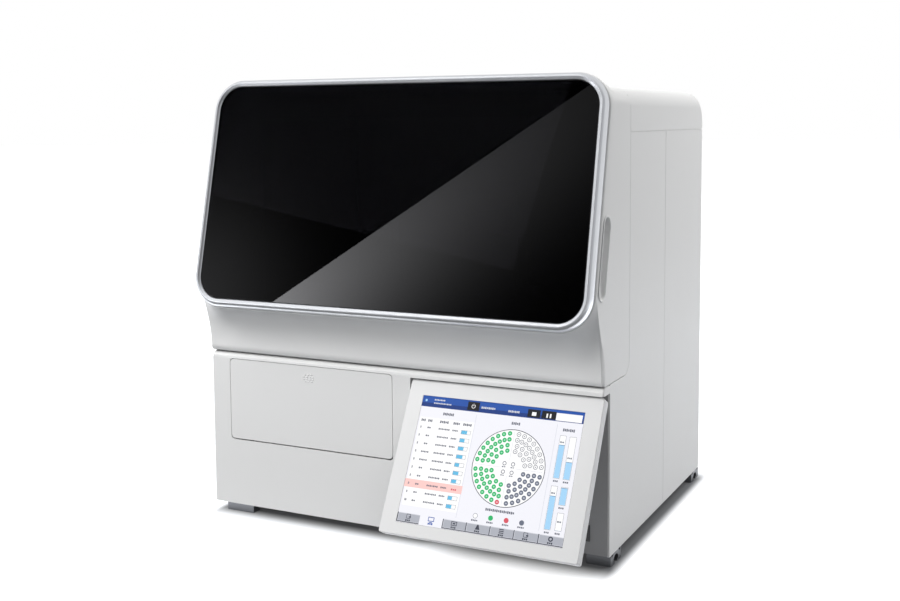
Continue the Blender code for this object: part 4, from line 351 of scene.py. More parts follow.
def half_outline(kind, share, spread):
    """The lid's outline as (across, up), from the middle of its foot to the middle of its head."""
    s = bpy.context.scene.hood_sizes
    half_w, half_h, radius = s.pane_width / 2 + spread, s.pane_height / 2 + spread, s.pane_radius + spread
    straight, side = half_w - radius, half_h - radius
    fan_top = -side + 2 * side * FAN_SHARE
    low = np.radians(-90 + 90 * share)
    high = np.radians(90 * share)
    round_low, round_high = straight + radius * np.cos(low), straight + radius * np.cos(high)
    across = (straight * share, round_low, half_w, half_w, round_high, straight * (1 - share))
    up = (
        -half_h,
        -side + radius * np.sin(low),
        -side + (fan_top + side) * share,
        fan_top + (side - fan_top) * share,
        side + radius * np.sin(high),
        half_h,
    )
    return np.choose(kind, across), np.choose(kind, up)


def rear_edge(kind, share, start_x):
    """Where each column ends: along the lower lip, up the seam and over the top."""
    half = bpy.context.scene.hood_sizes.side
    foot_y, seam_y = COVE_Y + LOW_IN, SEAM_Y - SEAM / 2
    turn_y, side_high = seam_y - FOOT_R, BODY_TOP - CORNER_R
    bend = np.radians(-90 + 180 * np.clip(share - 0.5, 0, 0.5))
    over = np.radians(90 * share)
    flat = share <= 0.5
    fan_y = np.where(flat, foot_y + (turn_y - foot_y) * share * 2, turn_y + FOOT_R * np.cos(bend))
    fan_z = np.where(flat, LOW_Z, LOW_Z + FOOT_R + FOOT_R * np.sin(bend))
    side_z = LOW_Z + FOOT_R + (side_high - LOW_Z - FOOT_R) * share
    round_x, round_z = half - CORNER_R + CORNER_R * np.cos(over), side_high + CORNER_R * np.sin(over)
    x = (start_x, start_x, half, half, round_x, (half - CORNER_R) * (1 - share))
    y = (foot_y, foot_y, fan_y, seam_y, seam_y, seam_y)
    z = (LOW_Z, LOW_Z, fan_z, side_z, round_z, BODY_TOP)
    return at(*(np.choose(kind, values) for values in (x, y, z)))


def sweep(p0, p1, p2, p3, t):
    """Cubic Bezier p0 (1-t)^3 + 3 p1 t (1-t)^2 + 3 p2 t^2 (1-t) + p3 t^3, over columns and steps."""
    t = np.asarray(t)[:, None, None]
    u = 1 - t
    return u**3 * p0 + 3 * u * u * t * p1 + 3 * u * t * t * p2 + t**3 * p3


def hood_rows():
    """The hood's right half: columns round the lid, rows from the lid's edge to the rear edge.

    Under the lid a column falls in a cove to the lower lip, at the sides it runs flat to the seam,
    and above the lid it flares down to the top and runs back. Each is a cubic Bezier and a straight.
    """
    s = bpy.context.scene.hood_sizes
    kind, share = stations()
    back = np.array((0, math.cos(s.pane_lean), -math.sin(s.pane_lean)))
    edge = [(-FLANGE_IN, 0), (LIP_OUT, 0), *rounding(LIP_OUT, 0, LIP_ROLL, LIP_ROLL, (30, 60, 90))]
    lips = [lid_point(*half_outline(kind, share, spread), -FRAME_BACK - TOUCH + out) for spread, out in edge]
    start = lips[-1]
    straight = half_outline(kind, share, LIP_OUT)[0]
    turn = np.where(kind == CORNER, share, 0.0)
    foot = straight.max() - (s.pane_radius + LIP_OUT)
    start_x = np.where(kind == BOTTOM, straight, foot + (s.side - foot) * turn)
    end = rear_edge(kind, share, start_x)
    t = np.linspace(0, 1, SWEEP_STEPS + 1)[1:]
    first_part = (t <= COVE_SHARE)[:, None, None]
    in_first = np.clip(t / COVE_SHARE, 0, 1)

    # Cove and its lower lip
    cove_lead = start + back * COVE_LEAD
    crease_lead = start + np.array((0, CHEEK_LEAD_Y, -CHEEK_LEAD_Z))
    lead = cove_lead + (crease_lead - cove_lead) * turn[:, None]
    lead[:, 0] = start[:, 0] + (end[:, 0] - start[:, 0]) * turn
    low = at(end[:, 0], COVE_Y, COVE_LOW_Z)
    cove = sweep(start, lead, at(end[:, 0], COVE_Y, COVE_BEND_Z), low, in_first)
    roll = np.clip((t - COVE_SHARE) / (1 - COVE_SHARE), 0, 1)[:, None, None]
    turned_in = at(end[:, 0], COVE_Y + (end[:, 1] - COVE_Y) / 3, COVE_LOW_Z - (COVE_LOW_Z - LOW_Z) * 2 / 3)
    lip = turned_in + (end - turned_in) * (roll * 2 - 1)
    lip = np.where(roll < 0.5, low + (turned_in - low) * roll * 2, lip)
    cove = np.where(first_part, cove, lip)

    # Cheek
    root = at(s.side, start[:, 1], start[:, 2])
    first = at(s.side, start[:, 1] + CHEEK_LEAD_Y, start[:, 2] - CHEEK_LEAD_Z)
    second = at(s.side, end[:, 1], end[:, 2] + COVE_BEND_Z - COVE_LOW_Z)
    fan = np.where(kind == FAN, share, 1.0)[:, None]
    first = first + (root + (end - root) / 3 - first) * fan
    second = second + (root + (end - root) * 2 / 3 - second) * fan
    cheek = sweep(root, first, second, end, t)
    over = 1 - (1 - np.clip(t * CHEEK_SPREAD, 0, 1)) ** 3
    cheek[:, :, 0] = start[None, :, 0] + (s.side - start[None, :, 0]) * over[:, None]

    # Flare over the lid
    join = at(end[:, 0], FLARE_END_Y, end[:, 2])
    top = sweep(start, start + back * FLARE_LEAD, join - np.array((0, FLARE_LEAD, 0)), join, in_first)
    top = np.where(first_part, top, join + (end - join) * roll)

    blend = np.clip(share / SHOULDER_BLEND, 0, 1)
    blend = np.where(kind == SHOULDER, blend * blend * (3 - 2 * blend), kind == TOP)[None, :, None]
    body = np.where((kind <= CORNER)[None, :, None], cove, cheek * (1 - blend) + top * blend)
    return place(np.concatenate([np.stack(lips), body], axis=0))


# Grip cup: its middle, its wall, its rim, the roundings of its mouth and floor, and its hole
CUP_Y = 0.0020
CUP_Z = 0.4175
CUP_WALL = 0.0018
CUP_RIM = 0.0032
CUP_RIM_HIGH = 0.0006
CUP_MOUTH = 0.0012
CUP_FILLET = 0.004
CUP_HOLE_OUT = 0.01
# The share of its depth that the cup's floor has at its middle
CUP_SLOPE_FROM = 0.75


def stadium(length, width, turn=14):
    """A slot's closed outline as (along, across): two half circles and two straight runs."""
    radius = width / 2
    ends = length / 2 - radius
    a = np.linspace(-math.pi / 2, math.pi / 2, turn + 1)
    head = arc(ends, 0, radius, a)
    return np.concatenate([head, -head])


def cup_loop(spread, out, side, slope=False):
    """The grip cup's outline grown by spread, in the plane out from the cheek on one side.

    With a slope, a plane below the cheek is deepest at the cup's upper end: it lies at
    out (0.75 + u), where u is the place along the cup in shares of its length.
    """
    s = bpy.context.scene.hood_sizes
    along, across = stadium(s.cup_length + 2 * spread, s.cup_width + 2 * spread).T
    y = CUP_Y + along * math.sin(s.pane_lean) + across * math.cos(s.pane_lean)
    z = CUP_Z + along * math.cos(s.pane_lean) - across * math.sin(s.pane_lean)
    if slope and out < 0:
        out = out * (CUP_SLOPE_FROM + along / s.cup_length)
    return at(side * (s.side + out), y, z)


class ANALYZER_OT_hood(bpy.types.Operator):
    """Moulded hood: a loft from the lid's rounded outline to the body's section, with cup holes"""

    bl_idname = "analyzer.hood"
    bl_label = "Hood"

    def execute(self, context):
        s = context.scene.hood_sizes
        half = loose("hood_half", tidy(surface("hood_half", hood_rows()), outwards=False))
        modifier(half, "MIRROR", use_axis=(True, False, False), merge_threshold=4e-5)
        shell = loose("hood_open", tidy(applied(half), merge=1e-5))
        outer = shell.data
        probe = outer.polygons[len(outer.polygons) // 2]
        if (np.array(probe.center) - place(HOOD_MIDDLE)) @ np.array(probe.normal) < 0:
            outer.flip_normals()
        modifier(shell, "SOLIDIFY", thickness=s.wall, offset=-1, use_even_offset=True, thickness_clamp=1.5)
        holes = []
        for side in (1, -1):
            rows = place([cup_loop(CUP_WALL + TOUCH, out, side) for out in (-s.cup_depth, CUP_HOLE_OUT)])
            hole = loose("cup_hole", solid("cup_hole", rows))
            hole.hide_render = True
            modifier(shell, "BOOLEAN", operation="DIFFERENCE", solver="EXACT", object=hole)
            holes.append(hole)
        mesh = smooth(applied(shell))
        drop(half, shell, *holes)
        piece("hood_cover", mesh, "housing_white", "hood", "hood_shell")
        return {"FINISHED"}


# The silver frame's section: its inner edge, the rise to its crest in shares of the crest's place
# and height, where the crest lies, how far it falls to the outside, and its rebate
RING_INNER = ((0.0, -0.0006), (0.0003, -0.0001))
RING_RISE = (*((r, r) for r in (0.12, 0.305, 0.49, 0.675, 0.86)), (0.94, 0.955), (1, 0.985))
CREST_AT = 0.0044
RING_FALL = 0.0076
REBATE_IN = 0.006
PANE_THICK = 0.005
PANE_EDGE = 0.0009


class ANALYZER_OT_lid(bpy.types.Operator):
    """Dark pane with a rounded edge, in a silver frame of bevel, crest and round shoulder"""

    bl_idname = "analyzer.lid"
    bl_label = "Lid"

    def execute(self, context):
        s = context.scene.hood_sizes
        wide, crest = s.frame_width, s.frame_crest
        section = [*RING_INNER, *((CREST_AT * x, crest * y) for x, y in RING_RISE)]
        section += rounding(CREST_AT, crest, wide - CREST_AT, crest + RING_FALL, range(10, 91, 10))
        section += [(wide - 0.0002, -FRAME_BACK + 0.0003), (wide - 0.0006, -FRAME_BACK)]
        depth = -TOUCH - PANE_THICK - TOUCH
        section += [(-REBATE_IN, -FRAME_BACK), (-REBATE_IN, depth), (0.0, depth)]
        rows = swept_ring(section)
        ring = tidy(surface("lid_ring", rows, close_rows=True, close_points=True), angle=40)
        piece("lid_ring", ring, "satin_silver", "hood", "lid_frame")
        section = rounding(-TOUCH - PANE_EDGE, -TOUCH, PANE_EDGE, PANE_EDGE, (0, 30, 60, 90))
        section.append((-TOUCH, -TOUCH - PANE_THICK))
        mesh = solid("dark_pane", swept_ring(section))
        keep_flat(piece("dark_pane", mesh, "smoked_pane", "hood", "lid_pane"))
        return {"FINISHED"}


class ANALYZER_OT_grip_cups(bpy.types.Operator):
    """Grip cups: a section with a soft lip, a wall and a rounded floor carried round a slot"""

    bl_idname = "analyzer.grip_cups"
    bl_label = "Grip cups"

    def execute(self, context):
        s = context.scene.hood_sizes
        floor, top = -s.cup_depth + CUP_WALL, TOUCH + CUP_RIM_HIGH
        section = [(-2 * CUP_FILLET, floor)]
        section += rounding(-CUP_FILLET, floor, CUP_FILLET, -CUP_FILLET, np.linspace(0, 90, 7))
        section += rounding(CUP_MOUTH, top, CUP_MOUTH, CUP_MOUTH, np.linspace(-90, 0, 5))
        section += rounding(CUP_RIM - CUP_RIM_HIGH, top, CUP_RIM_HIGH, CUP_RIM_HIGH, np.linspace(15, 90, 4))
        section += [(CUP_WALL, TOUCH), (CUP_WALL, -s.cup_depth)]
        for name, side in (("right", 1), ("left", -1)):
            mesh = solid("cup", place([cup_loop(*point, side, slope=True) for point in section]), angle=50)
            piece(f"grip_well_{name}", mesh, "housing_white", "hood", f"grip_cup_{name}")
        return {"FINISHED"}


# Push dots on the access door: their drop from its top edge, pitch, rows, half sizes and flat top

DOOR_LOW, DOOR_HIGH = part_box("access_door")
DOT_DROP = 0.013
DOT_PITCH = 0.0055
DOT_ROW = 0.0035
DOTS_IN_ROW = (3, 4, 4, 3)
DOT_HALF = (0.0021, 0.0012, 0.0009)
DOT_TOP = 0.12


def dome(centre_x, centre_z, steps=6, sides=16):
    """A low ellipsoid cap on the door: rings (a sin u cos v, -c cos u, b sin u sin v)."""
    a, b, c = DOT_HALF
    u = np.linspace(math.pi / 2, DOT_TOP, steps)[:, None]
    v = (np.arange(sides) * 2 * math.pi / sides)[None, :]
    x, z = centre_x + a * np.sin(u) * np.cos(v), centre_z + b * np.sin(u) * np.sin(v)
    return place(at(x, -c * np.cos(u), z))


class ANALYZER_OT_push_dots(bpy.types.Operator):
    """Small raised dots that mark where the access door is pushed"""

    bl_idname = "analyzer.push_dots"
    bl_label = "Push dots"

    def execute(self, context):
        bm = bmesh.new()
        for row, count in enumerate(DOTS_IN_ROW):
            for column in range(count):
                x = (DOOR_LOW.x + DOOR_HIGH.x) / 2 + (column - (count - 1) / 2) * DOT_PITCH
                z = DOOR_HIGH.z - ORIGIN.z - DOT_DROP - row * DOT_ROW
                mesh = surface("dot", dome(x, z), close_points=True, cap_first=True, cap_last=True)
                bm.from_mesh(mesh)
                bpy.data.meshes.remove(mesh)
        mesh = bpy.data.meshes.new("push_dots")
        bm.to_mesh(mesh)
        bm.free()
        piece("push_dots", tidy(mesh, angle=60), "housing_white", "access_door")
        return {"FINISHED"}


# Backing strips in the side seams

PANEL_SEAM_Y = 0.286
PANEL_SEAM_LOW = 0.012
TOP_SEAM_Z = 0.584
SEAM_FOOT_TURN = -80
SEAM_DEPTH = 0.0002
STRIP_T = 0.0014


def ribbon(path, side):
    """A flat strip along a path of (y, z): each row is the path moved by its normal, near and deep."""
    path = np.asarray(path, float)
    run = np.gradient(path, axis=0)
    run /= np.linalg.norm(run, axis=1)[:, None]
    normal = np.stack([run[:, 1], -run[:, 0]], axis=-1) * (SEAM / 2 - TOUCH / 2)
    half = bpy.context.scene.hood_sizes.side
    near, deep = half - SEAM_DEPTH, half - (SEAM_DEPTH + STRIP_T)
    edges = ((1, near), (-1, near), (-1, deep), (1, deep))
    return place(np.stack([at(side * x, *(path + sign * normal).T) for sign, x in edges], axis=1))


class ANALYZER_OT_seams(bpy.types.Operator):
    """Pale strips a little below the surface, which back the seams between the side covers"""

    bl_idname = "analyzer.seams"
    bl_label = "Seam strips"

    def execute(self, context):
        turn = np.radians(np.linspace(0, SEAM_FOOT_TURN, 12))
        foot = arc(SEAM_Y - SEAM / 2 - FOOT_R, LOW_Z + FOOT_R, FOOT_R + SEAM / 2, turn)
        rear = SEAM_Y + SEAM / 2 + TOUCH
        paths = {
            "hood": np.vstack([[(SEAM_Y, BODY_TOP - CORNER_R)], foot]),
            "panel": [(PANEL_SEAM_Y, TOP_SEAM_Z - SEAM / 2), (PANEL_SEAM_Y, PANEL_SEAM_LOW)],
            "cover": [(rear, TOP_SEAM_Z), (NODES_REAR - FASCIA_LOW.y - CORNER_R, TOP_SEAM_Z)],
        }
        for label, path in paths.items():
            for name, side in (("right", 1), ("left", -1)):
                mesh = solid("strip", ribbon(path, side))
                piece(f"seam_strip_{label}_{name}", mesh, "housing_white", "chassis")
        return {"FINISHED"}


# Touchscreen picture

SCREEN_AXIS = np.array((0.1785, 0.010774, 0.213986))
SCREEN_TILT = math.radians(-28.5)
GLASS_Y = -0.0117
PICTURE_W = 0.246 - 2 * TOUCH
PICTURE_H = 0.1815 - 2 * TOUCH
RATIO = PICTURE_W / PICTURE_H
# The glass starts this far below the screen's axis, and the tiles rise from it by these steps
GLASS_TOP = 0.0125
TILE_LIFT = 0.00005
TILE_STEP = 0.00002
# Blocks that stand for words: their pitch, the share of it that each fills, and half heights
WORD_STEP = 0.0105
WORD_SHARE = 0.76
WORD_RISES = (0.5, 0.42, 0.5, 0.36)
# Colours of the picture as a display gives them, from 0 to 255
INK = {
    "ground": (243, 243, 250),
    "white": (255, 255, 255),
    "blue": (22, 80, 170),
    "deep_blue": (12, 55, 130),
    "black": (16, 20, 28),
    "text": (104, 107, 122),
    "line": (208, 211, 222),
    "outline": (120, 124, 138),
    "level": (165, 215, 250),
    "level_edge": (70, 125, 170),
    "cyan": (95, 190, 232),
    "pink": (253, 205, 200),
    "green": (30, 185, 105),
    "light_green": (165, 232, 195),
    "red": (220, 80, 95),
    "light_red": (245, 190, 195),
    "slate": (105, 112, 130),
    "light_slate": (190, 194, 206),
    "tab": (175, 178, 188),
    "tab_light": (212, 214, 222),
    "tab_dark": (118, 122, 134),
    "icon": (62, 66, 80),
}


def ink_colour(name):
    """A display's colour as light: ((c + 0.055) / 1.055) to the power 2.4."""
    share = np.array(INK[name]) / 255
    return (*(((share + 0.055) / 1.055) ** 2.4), 1.0)


class Picture:
    """Thin tiles on the display, laid out in shares of its width and height from the top left."""

    def __init__(self):
        self.points, self.faces, self.inks = [], [], []

    def tile(self, outline, layer, ink):
        """A prism over the outline: its sides stand on the layer below and its top is its colour."""
        outline = np.asarray(outline, float)
        n, base = len(outline), len(self.points)
        x = (outline[:, 0] - 0.5) * PICTURE_W
        z = -GLASS_TOP - TOUCH - outline[:, 1] * PICTURE_H
        for y in (GLASS_Y - TILE_LIFT - TILE_STEP * layer, GLASS_Y - TILE_STEP):
            self.points += at(x, y, z).tolist()
        self.faces.append([base + i for i in range(n)])
        self.faces.append([base + n + i for i in reversed(range(n))])
        for i in range(n):
            j = (i + 1) % n
            self.faces.append([base + i, base + n + i, base + n + j, base + j])
        self.inks += [ink] * (n + 2)

    def box(self, x0, x1, y0, y1, layer, ink):
        self.tile([(x0, y0), (x0, y1), (x1, y1), (x1, y0)], layer, ink)

    def frame(self, x0, x1, y0, y1, layer, edge, ink, line=0.0022):
        """A box of one colour inside a thin edge of another."""
        rise = line * RATIO
        self.box(x0, x1, y0, y1, layer, edge)
        self.box(x0 + line, x1 - line, y0 + rise, y1 - rise, layer + 1, ink)

    def words(self, x0, x1, y, ink="text", layer=3, high=0.013):
        """A row of small blocks in the place of printed words, about their middle height."""
        count = max(2, round((x1 - x0) / WORD_STEP))
        step = (x1 - x0) / count
        for i in range(count):
            rise = high * WORD_RISES[i % len(WORD_RISES)]
            self.box(x0 + i * step, x0 + (i + WORD_SHARE) * step, y - rise, y + rise, layer, ink)

    def rim(self, x, y, radius, a):
        """radius is a share of the width: points at x + r cos a, y - r sin a, stretched to stay round."""
        return arc(0, 0, radius, a) * (1, -RATIO) + (x, y)

    def disc(self, x, y, radius, layer, ink, sides=14):
        self.tile(self.rim(x, y, radius, np.arange(sides) * 2 * math.pi / sides)[::-1], layer, ink)

    def band(self, x, y, inner, outer, start, end, layer, ink, steps=14):
        """Part of a ring between two radii, from one angle to another."""
        a = np.radians(np.linspace(start, end, steps))
        self.tile(np.vstack([self.rim(x, y, outer, a), self.rim(x, y, inner, a)[::-1]])[::-1], layer, ink)


def draw_header(p):
    p.box(0, 1, 0, 0.054, 1, "blue")
    p.box(0, 1, 0.054, 0.087, 1, "deep_blue")
    p.disc(0.025, 0.036, 0.007, 2, "level")
    p.words(0.077, 0.147, 0.026, "tab_light", 2, 0.012)
    p.words(0.077, 0.191, 0.053, "tab_light", 2, 0.011)
    for x0, x1, y0 in ((0.293, 0.367, 0.010), (0.666, 0.742, 0.018), (0.751, 0.836, 0.018)):
        p.box(x0, x1, y0, 0.079, 2, "black")
    p.band(0.330, 0.045, 0.0092, 0.0125, 125, 415, 3, "white")
    p.box(0.3285, 0.3315, 0.025, 0.043, 3, "white")
    p.words(0.380, 0.469, 0.047, "tab_light", 2, 0.017)
    p.words(0.548, 0.618, 0.052, "tab_light", 2, 0.017)
    p.box(0.692, 0.718, 0.038, 0.066, 3, "white")
    p.box(0.779, 0.788, 0.038, 0.070, 3, "white")
    p.box(0.799, 0.808, 0.038, 0.070, 3, "white")
    p.box(0.837, 0.990, 0.024, 0.082, 2, "white")


# Length of each sample's bar: the eighth has a red word instead
BARS = (0.036, 0.030, 0.034, 0.038, 0.028, 0.034, 0.030, None, 0.026, 0.032)


def draw_table(p):
    """Ten samples: number, name, date, time and a small bar that shows what is left."""
    p.words(0.150, 0.220, 0.131, high=0.022)
    p.box(0.011, 0.356, 0.172, 0.868, 1, "white")
    for x0, x1 in ((0.020, 0.049), (0.064, 0.093), (0.141, 0.198), (0.227, 0.270), (0.289, 0.344)):
        p.words(x0, x1, 0.196, high=0.020)
    p.box(0, 0.363, 0.665, 0.728, 2, "pink")
    for i, bar in enumerate(BARS):
        y = 0.252 + 0.0637 * i
        p.words(0.022, 0.030 if i < 9 else 0.036, y, high=0.019)
        p.words(0.060 if i in (3, 4) else 0.068, 0.110 if i in (3, 4) else 0.092, y)
        p.words(0.141, 0.213, y)
        p.words(0.229, 0.267, y)
        if bar is None:
            p.words(0.295, 0.330, y + 0.004, "red")
            continue
        p.frame(0.285, 0.345, y - 0.011, y + 0.021, 2, "outline", "white", 0.0018)
        p.box(0.287, 0.287 + bar, y - 0.008, y + 0.018, 4, "cyan")


def draw_disk(p):
    """Carousel seen from above: four quarters of numbered places in four rings."""
    cx, cy = 0.611, 0.4835
    p.words(0.582, 0.635, 0.142, high=0.022)
    p.disc(cx, cy, 0.2185, 1, "icon", 64)
    p.disc(cx, cy, 0.2145, 2, "white", 64)
    for near, far in ((-0.205, -0.045), (0.045, 0.205)):
        p.box(cx - 0.0009, cx + 0.0009, cy + near * RATIO, cy + far * RATIO, 3, "line")
    for near, far in ((-0.205, -0.045), (0.045, 0.205)):
        p.box(cx + near, cx + far, cy - 0.0012, cy + 0.0012, 3, "line")
    for x, y in ((-0.026, -0.032), (0.026, -0.032), (-0.026, 0.032), (0.026, 0.032)):
        p.disc(cx + x, cy + y, 0.0120, 3, "text", 12)
        p.disc(cx + x, cy + y, 0.0080, 4, "white", 12)
        p.words(cx + x - 0.012, cx + x + 0.012, cy + y + 0.026, "outline", 3, 0.009)
    green = ("green", "light_green")
    quarters = (("text", "white"), green, green, ("slate", "light_slate"))
    for radius, count, low in ((0.195, 8, 8.0), (0.161, 8, 8.5), (0.129, 5, 13.0), (0.098, 4, 14.0)):
        for quarter, (ink, mark) in enumerate(quarters):
            for i in range(count):
                turn = math.radians(90 * quarter + low + (90 - 2 * low) * i / (count - 1))
                x, y = cx + radius * math.cos(turn), cy - radius * math.sin(turn) * RATIO
                last = quarter == 2 and radius > 0.19 and i == count - 1
                p.disc(x, y, 0.0133, 3, "red" if last else ink)
                if quarter == 0:
                    p.disc(x, y, 0.0100, 4, "white")
                    p.box(x - 0.003, x + 0.003, y - 0.004, y + 0.004, 5, "outline")
                else:
                    p.box(x - 0.005, x + 0.005, y - 0.005, y + 0.005, 4, "light_red" if last else mark)
    p.words(0.525, 0.698, 0.809, high=0.020)
    for x, ink in ((0.473, "white"), (0.565, "green"), (0.658, "red"), (0.749, "slate")):
        p.disc(x, 0.868, 0.0145, 2, "outline" if ink == "white" else ink)
        p.disc(x, 0.868, 0.0120, 3, ink)
        p.words(x - 0.020, x + 0.020, 0.902)


def draw_levels(p):
    """Supply levels in outlined columns, each with its caption."""
    p.words(0.890, 0.961, 0.147, high=0.022)
    columns = (
        (0.880, 0.917, 0.190, 0.512, 0.261),
        (0.937, 0.977, 0.193, 0.513, 0.382),
        (0.880, 0.917, 0.568, 0.888, 0.641),
        (0.937, 0.977, 0.568, 0.701, 0.574),
        (0.941, 0.979, 0.756, 0.886, 0.884),
    )
    for x0, x1, y0, y1, level in columns:
        p.frame(x0, x1, y0, y1, 2, "outline", "white", 0.0016)
        p.box(x0 + 0.0025, x1 - 0.0025, level, y1 - 0.003, 4, "level")
        if level < 0.8:
            p.box(x0 + 0.0025, x1 - 0.0025, level, level + 0.004, 5, "level_edge")
        if level > y0 + 0.03:
            p.words(x0 + 0.006, x1 - 0.006, min(level - 0.020, (y0 + y1) / 2), "outline", 5, 0.012)
        p.words(x0 + 0.004, x1 - 0.004, y1 + 0.020)


# Framed signs by tab: half width, upper and lower end and line, then a box and its layer
SIGNS = {
    0: ((0.013, -0.021, 0.015, 0.003), (0.003, 0.016, -0.004, 0.006, 6)),
    1: ((0.019, -0.024, 0.010, 0.004), (-0.010, 0.010, 0.014, 0.020, 4)),
    2: ((0.018, -0.018, 0.014, 0.004), (-0.008, 0.008, -0.007, 0.003, 6)),
}
SIGNS[5] = SIGNS[0]
FLASK = ((-0.004, -0.022), (-0.014, 0.015), (0.014, 0.015), (0.004, -0.022))
TAB_EDGES = (0, 0.142, 0.285, 0.428, 0.571, 0.713, 0.856, 1)


def draw_tabs(p):
    """Seven tabs with plain signs: a sheet, a screen, a rack, a flask, a list, a file and a wheel."""
    for i, (x0, x1) in enumerate(zip(TAB_EDGES, TAB_EDGES[1:])):
        if i != 1:
            p.box(x0, x1, 0.926, 0.997, 1, "icon")
            p.box(x0 + 0.005, x1, 0.926, 0.990, 2, "tab_light")
            p.box(x0 + 0.008, x1, 0.931, 0.987, 3, "tab")
        ink, back = ("blue", "ground") if i == 1 else ("icon", "tab")
        x, y = (x0 + x1) / 2, 0.952
        if i in SIGNS:
            (half, high, low, line), (left, right, top, foot, layer) = SIGNS[i]
            p.frame(x - half, x + half, y + high, y + low, 4, ink, back, line)
            p.box(x + left, x + right, y + top, y + foot, layer, ink)
        elif i == 3:
            p.tile([(x + dx, y + dy) for dx, dy in FLASK], 4, ink)
        elif i == 4:
            for row in (-0.018, -0.005, 0.008):
                p.box(x - 0.014, x + 0.014, y + row, y + row + 0.007, 4, ink)
        else:
            p.disc(x, y - 0.002, 0.014, 4, ink)
            p.disc(x, y - 0.002, 0.007, 5, back)
        p.words(x - 0.016, x + 0.016, 0.980, ink, 4, 0.014)


def draw_picture():
    """A plain operating picture: header, sample table, carousel disk, supply levels and tabs."""
    p = Picture()
    p.box(0, 1, 0, 1, 0, "ground")
    draw_header(p)
    draw_table(p)
    draw_disk(p)
    draw_levels(p)
    p.box(0.359, 0.361, 0.110, 0.905, 1, "line")
    p.box(0.852, 0.854, 0.110, 0.905, 1, "line")
    draw_tabs(p)
    return p


class ANALYZER_OT_picture(bpy.types.Operator):
    """Operating picture on the touchscreen, in thin coloured tiles and without lettering"""

    bl_idname = "analyzer.picture"
    bl_label = "Screen picture"

    def execute(self, context):
        p = draw_picture()
        x, y, z = np.array(p.points).T
        c, s = math.cos(SCREEN_TILT), math.sin(SCREEN_TILT)
        points = place(at(x, y * c - z * s, y * s + z * c) + SCREEN_AXIS)
        mesh = bpy.data.meshes.new("screen_picture")
        mesh.from_pydata(points.tolist(), [], p.faces)
        ink = mesh.attributes.new("ink", "FLOAT_COLOR", "FACE")
        ink.data.foreach_set("color", np.array([ink_colour(i) for i in p.inks], float).ravel())
        piece("screen_picture", mesh, "screen_picture", "touchscreen", slot="display_glass")
        return {"FINISHED"}


# Finishes


def feed(tree, socket, value):
    """Links a socket to the output that is given, or sets its value."""
    if isinstance(value, bpy.types.NodeSocket):
        tree.links.new(value, socket)
    else:
        socket.default_value = value


def node(tree, kind, *given, **named):
    """A shader node: what is given goes to its inputs in turn, what is named to a property or input."""
    made = tree.nodes.new("ShaderNode" + kind)
    for key, value in named.items():
        if key in made.bl_rna.properties:
            setattr(made, key, value)
        else:
            feed(tree, made.inputs[key.replace("_", " ")], value)
    for socket, value in zip(made.inputs, given):
        feed(tree, socket, value)
    return made


def maths(tree, kind, *given, clamp=False):
    return node(tree, "Math", *given, operation=kind, use_clamp=clamp).outputs[0]


def vectors(tree, kind, *given, **named):
    made = node(tree, "VectorMath", *given, operation=kind, **named)
    return made.outputs["Value" if kind in ("LENGTH", "DISTANCE", "DOT_PRODUCT") else "Vector"]


def mixed(tree, share, first, second):
    """Two colours mixed: a colour mix has them on its seventh and eighth inputs."""
    made = node(tree, "Mix", share, data_type="RGBA")
    feed(tree, made.inputs[6], first)
    feed(tree, made.inputs[7], second)
    return made.outputs[2]


def smoothstep(tree, value, **ends):
    return node(tree, "MapRange", value, interpolation_type="SMOOTHSTEP", **ends).outputs[0]


def noise(tree, where, scale, detail):
    return node(tree, "TexNoise", Vector=where, Scale=scale, Detail=detail).outputs["Fac"]


def object_place(tree):
    return node(tree, "TexCoord").outputs["Object"]


FLOAT, COLOUR, VECTOR = "NodeSocketFloat", "NodeSocketColor", "NodeSocketVector"
SKIN_OUTPUTS = {"Color": COLOUR, "Roughness": FLOAT, "Normal": VECTOR}


def group(name, inputs, outputs):
    """A new node group, the outputs of its input node, and its output node.

    An input's type follows its default: a number, a vector of three or a colour of four.
    """
    made = bpy.data.node_groups.new(name, "ShaderNodeTree")
    for label, default in inputs.items():
        kind = FLOAT if isinstance(default, float) else (VECTOR if len(default) == 3 else COLOUR)
        made.interface.new_socket(label, in_out="INPUT", socket_type=kind).default_value = default
    for label, kind in outputs.items():
        made.interface.new_socket(label, in_out="OUTPUT", socket_type=kind)
    return made, made.nodes.new("NodeGroupInput").outputs, made.nodes.new("NodeGroupOutput")


def skin_group(name, inputs, fields):
    """A skin: noise as bump, another in the tone of the colour and a third in the roughness.

    The tone is 1 + Tone (n - 0.5) and the roughness is Roughness + Uneven (n - 0.5).
    """
    made, given, out = group(name, inputs, SKIN_OUTPUTS)
    height, tone, gloss = fields(made, given)
    off_tone, off_gloss = (maths(made, "SUBTRACT", field, 0.5) for field in (tone, gloss))
    scale = maths(made, "MULTIPLY_ADD", off_tone, given["Tone"], 1.0)
    bump = node(made, "Bump", Strength=1.0, Height=height, Distance=given["Depth"])
    feed(made, out.inputs["Color"], vectors(made, "SCALE", given["Color"], Scale=scale))
    rough = maths(made, "MULTIPLY_ADD", off_gloss, given["Uneven"], given["Roughness"], clamp=True)
    feed(made, out.inputs["Roughness"], rough)
    feed(made, out.inputs["Normal"], bump.outputs["Normal"])
    return made


def moulded_group():
    """Spark-eroded grain, a faint mottle of tone and an uneven gloss, on Object coordinates."""
    inputs = {"Color": (0.8, 0.8, 0.8, 1), "Tone": 0.02, "Roughness": 0.4, "Uneven": 0.06}
    inputs |= {"Grain": 900.0, "Depth": 0.00002}

    def fields(made, given):
        where = object_place(made)
        return [noise(made, where, *of) for of in ((given["Grain"], 2.0), (9.0, 3.0), (38.0, 2.0))]

    return skin_group("moulded_skin", inputs, fields)


